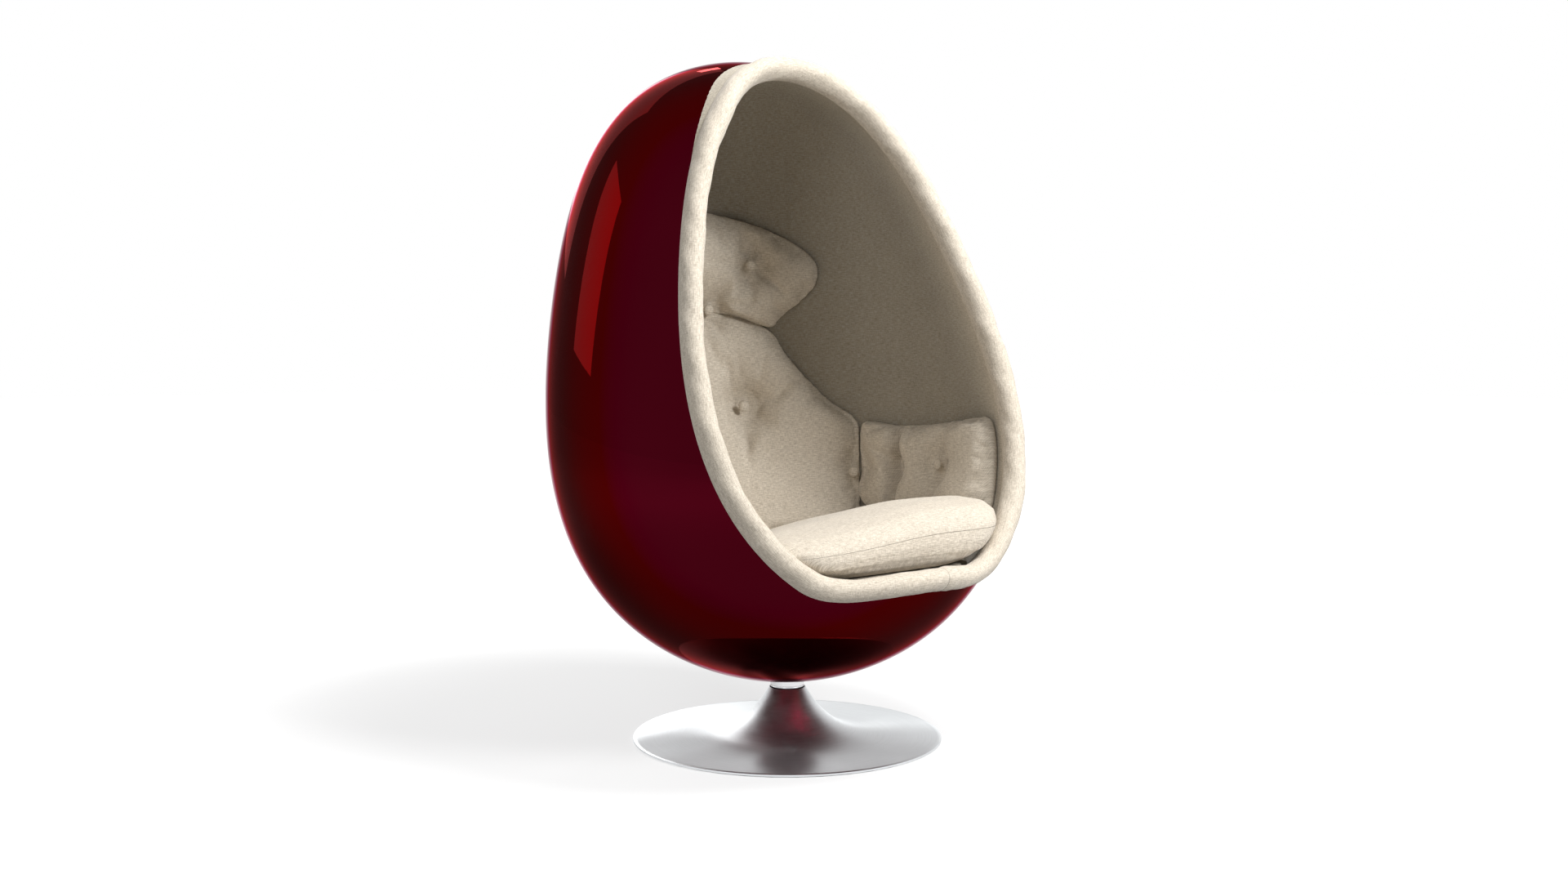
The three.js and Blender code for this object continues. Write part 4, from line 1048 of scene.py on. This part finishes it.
def flare(radius, depth=0.0):
    """Point of the trumpet's outside at a radius, or of its inside at a depth under it."""
    span, rise = BASE_RADIUS - NECK_RADIUS, NECK_TOP - RIM_TOP
    share = (BASE_RADIUS - radius) / span
    slope = -FLARE_POWER * rise * share ** (FLARE_POWER - 1) / span
    size = math.hypot(1, slope)
    return radius + depth * slope / size, RIM_TOP + rise * share**FLARE_POWER - depth / size


def make_base():
    span = BASE_RADIUS - 0.001 - NECK_RADIUS
    radii = [NECK_RADIUS + span * (i / 60) ** 1.7 for i in range(61)]
    outside = [flare(r) for r in radii]
    rim = [(BASE_RADIUS - 0.0003, RIM_TOP - 0.0004), (BASE_RADIUS, RIM_TOP - 0.0012),
           (BASE_RADIUS, RIM_LOW), (BASE_RADIUS - BASE_SHEET, RIM_LOW),
           (BASE_RADIUS - BASE_SHEET, RIM_TOP - BASE_SHEET)]
    inside = [flare(r, BASE_SHEET) for r in reversed(radii[:-1:3])]
    base = turned("trumpet_base", [*outside, *rim, *inside, outside[0]], 256)
    smooth(base, 35)
    return settle(base, "base", "brushed", METAL, "base_trumpet")


def make_collar():
    low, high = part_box("swivel_collar")
    outer, bottom, top, bore = 0.0325, low[2], high[2], 0.0155
    profile = [(bore, bottom), (outer - 0.0012, bottom), (outer - 0.0004, bottom + 0.0003),
               (outer, bottom + 0.0011), (outer, bottom + 0.0032), (outer - 0.0005, bottom + 0.0036),
               (outer - 0.0005, bottom + 0.0042), (outer, bottom + 0.0046), (outer, top - 0.003),
               (bore, top - 0.003), (bore, bottom)]
    collar = turned("bright_collar", profile, 160)
    smooth(collar, 35)
    return settle(collar, "pod", "polished", COLLAR, "swivel_collar")


def dress_hidden_nodes():
    """Finishes of the pieces that stay as they are in the frame."""
    slots = {piece["node"]: piece["material_slot"] for piece in frame["record"]["subparts"]}
    for name, piece in frame["nodes"].items():
        if piece.hide_render:
            continue
        material = UNDER_FINISHES[slots[name]]
        if not piece.material_slots:
            piece.data.materials.append(material)
        for held in piece.material_slots:
            held.material = material


# Studio

def seen_directly(tree):
    """One where the camera, a reflection or a clear piece looks straight at the studio, else nought."""
    path = node(tree, "ShaderNodeLightPath")
    seen = sums(tree, "MAXIMUM", path.outputs["Is Camera Ray"], path.outputs["Is Glossy Ray"])
    return sums(tree, "MAXIMUM", seen, path.outputs["Is Transmission Ray"])


def make_floor():
    bpy.ops.mesh.primitive_circle_add(vertices=96, radius=14, fill_type="NGON", location=(0, 0, 0))
    floor = active()
    floor.name = "studio_floor"
    material, tree, shader = finish("studio_floor", 0.9, Specular_IOR_Level=0.0)
    seen = seen_directly(tree)
    grain = noise(tree, object_place(tree), 3.0, 2.0)
    pale = ramp(tree, grain, (0.0, (0.38, 0.38, 0.38)), (1.0, (0.36, 0.36, 0.36)))
    tree.links.new(pale, shader.inputs["Base Color"])
    away = length_of(tree, object_place(tree))
    spread = node(tree, "ShaderNodeMapRange",
                  {"Value": away, "From Min": 0.7, "From Max": 2.0, "To Min": 0.64},
                  interpolation_type="SMOOTHSTEP").outputs[0]
    shader.inputs["Emission Color"].default_value = (1, 1, 1, 1)
    tree.links.new(sums(tree, "MULTIPLY", spread, seen), shader.inputs["Emission Strength"])
    floor.data.materials.append(material)


def make_world():
    world = bpy.data.worlds.new("studio")
    bpy.context.scene.world = world
    world.use_nodes = True
    tree = world.node_tree
    background = tree.nodes["Background"]
    strength = sums(tree, "MULTIPLY_ADD", seen_directly(tree), 0.8, 0.2)
    tree.links.new(strength, background.inputs["Strength"])
    background.inputs["Color"].default_value = (1, 1, 1, 1)


def lamp(name, place, aim, size, power, tall=None):
    bpy.ops.object.light_add(type="AREA", location=place)
    light = active()
    light.name = name
    light.data.shape = "RECTANGLE"
    light.data.size = size
    light.data.size_y = tall or size
    light.data.energy = power
    light.visible_camera = False
    light.rotation_mode = "QUATERNION"
    light.rotation_quaternion = (Vector(aim) - Vector(place)).to_track_quat("-Z", "Y")
    return light


def make_lights():
    lamp("front_key", (0.9, -3.2, 2.35), (0, -0.1, 0.7), 1.0, 120)
    lamp("top_lamp", (0.6, -1.2, 3.4), (0, -0.1, 0.5), 0.8, 72)
    lamp("left_lamp", (-3.2, -2.0, 2.4), (0, 0, 0.7), 1.2, 34)
    lamp("rear_left_panel", (-1.9, 2.75, 2.05), (-0.35, 0.05, 0.9), 1.0, 17, 1.8)
    lamp("rear_panel", (0.6, 3.5, 2.8), (-0.1, 0.1, 1.0), 2.3, 55, 3.0)
    lamp("rear_spot", (1.35, 2.5, 3.3), (-0.13, 0.07, 1.25), 0.28, 8)


def make_camera():
    azimuth, elevation, distance = math.radians(-39.197), math.radians(4.386), 3.3028
    image_width, focal_pixels = 1920, 2131.65
    right = Vector((math.cos(azimuth), math.sin(azimuth), 0))
    back = Vector((math.sin(azimuth) * math.cos(elevation), -math.cos(azimuth) * math.cos(elevation),
                   math.sin(elevation)))
    target = Vector((0, 0, 0.5727)) - 0.00626 * right
    bpy.ops.object.camera_add(location=target + distance * back)
    camera = active()
    camera.rotation_mode = "QUATERNION"
    camera.rotation_quaternion = (-back).to_track_quat("-Z", "Y")
    camera.data.sensor_width = 36
    camera.data.lens = focal_pixels / image_width * camera.data.sensor_width
    camera.data.clip_end = 100
    bpy.context.scene.camera = camera


make_camera()
make_shell()
make_lining()
make_lip()
make_pads()
make_buttons()
make_seat_deck()
make_seat_cushion()
make_base()
make_collar()
dress_hidden_nodes()
make_floor()
make_world()
make_lights()
bpy.context.scene.view_settings.view_transform = "Standard"
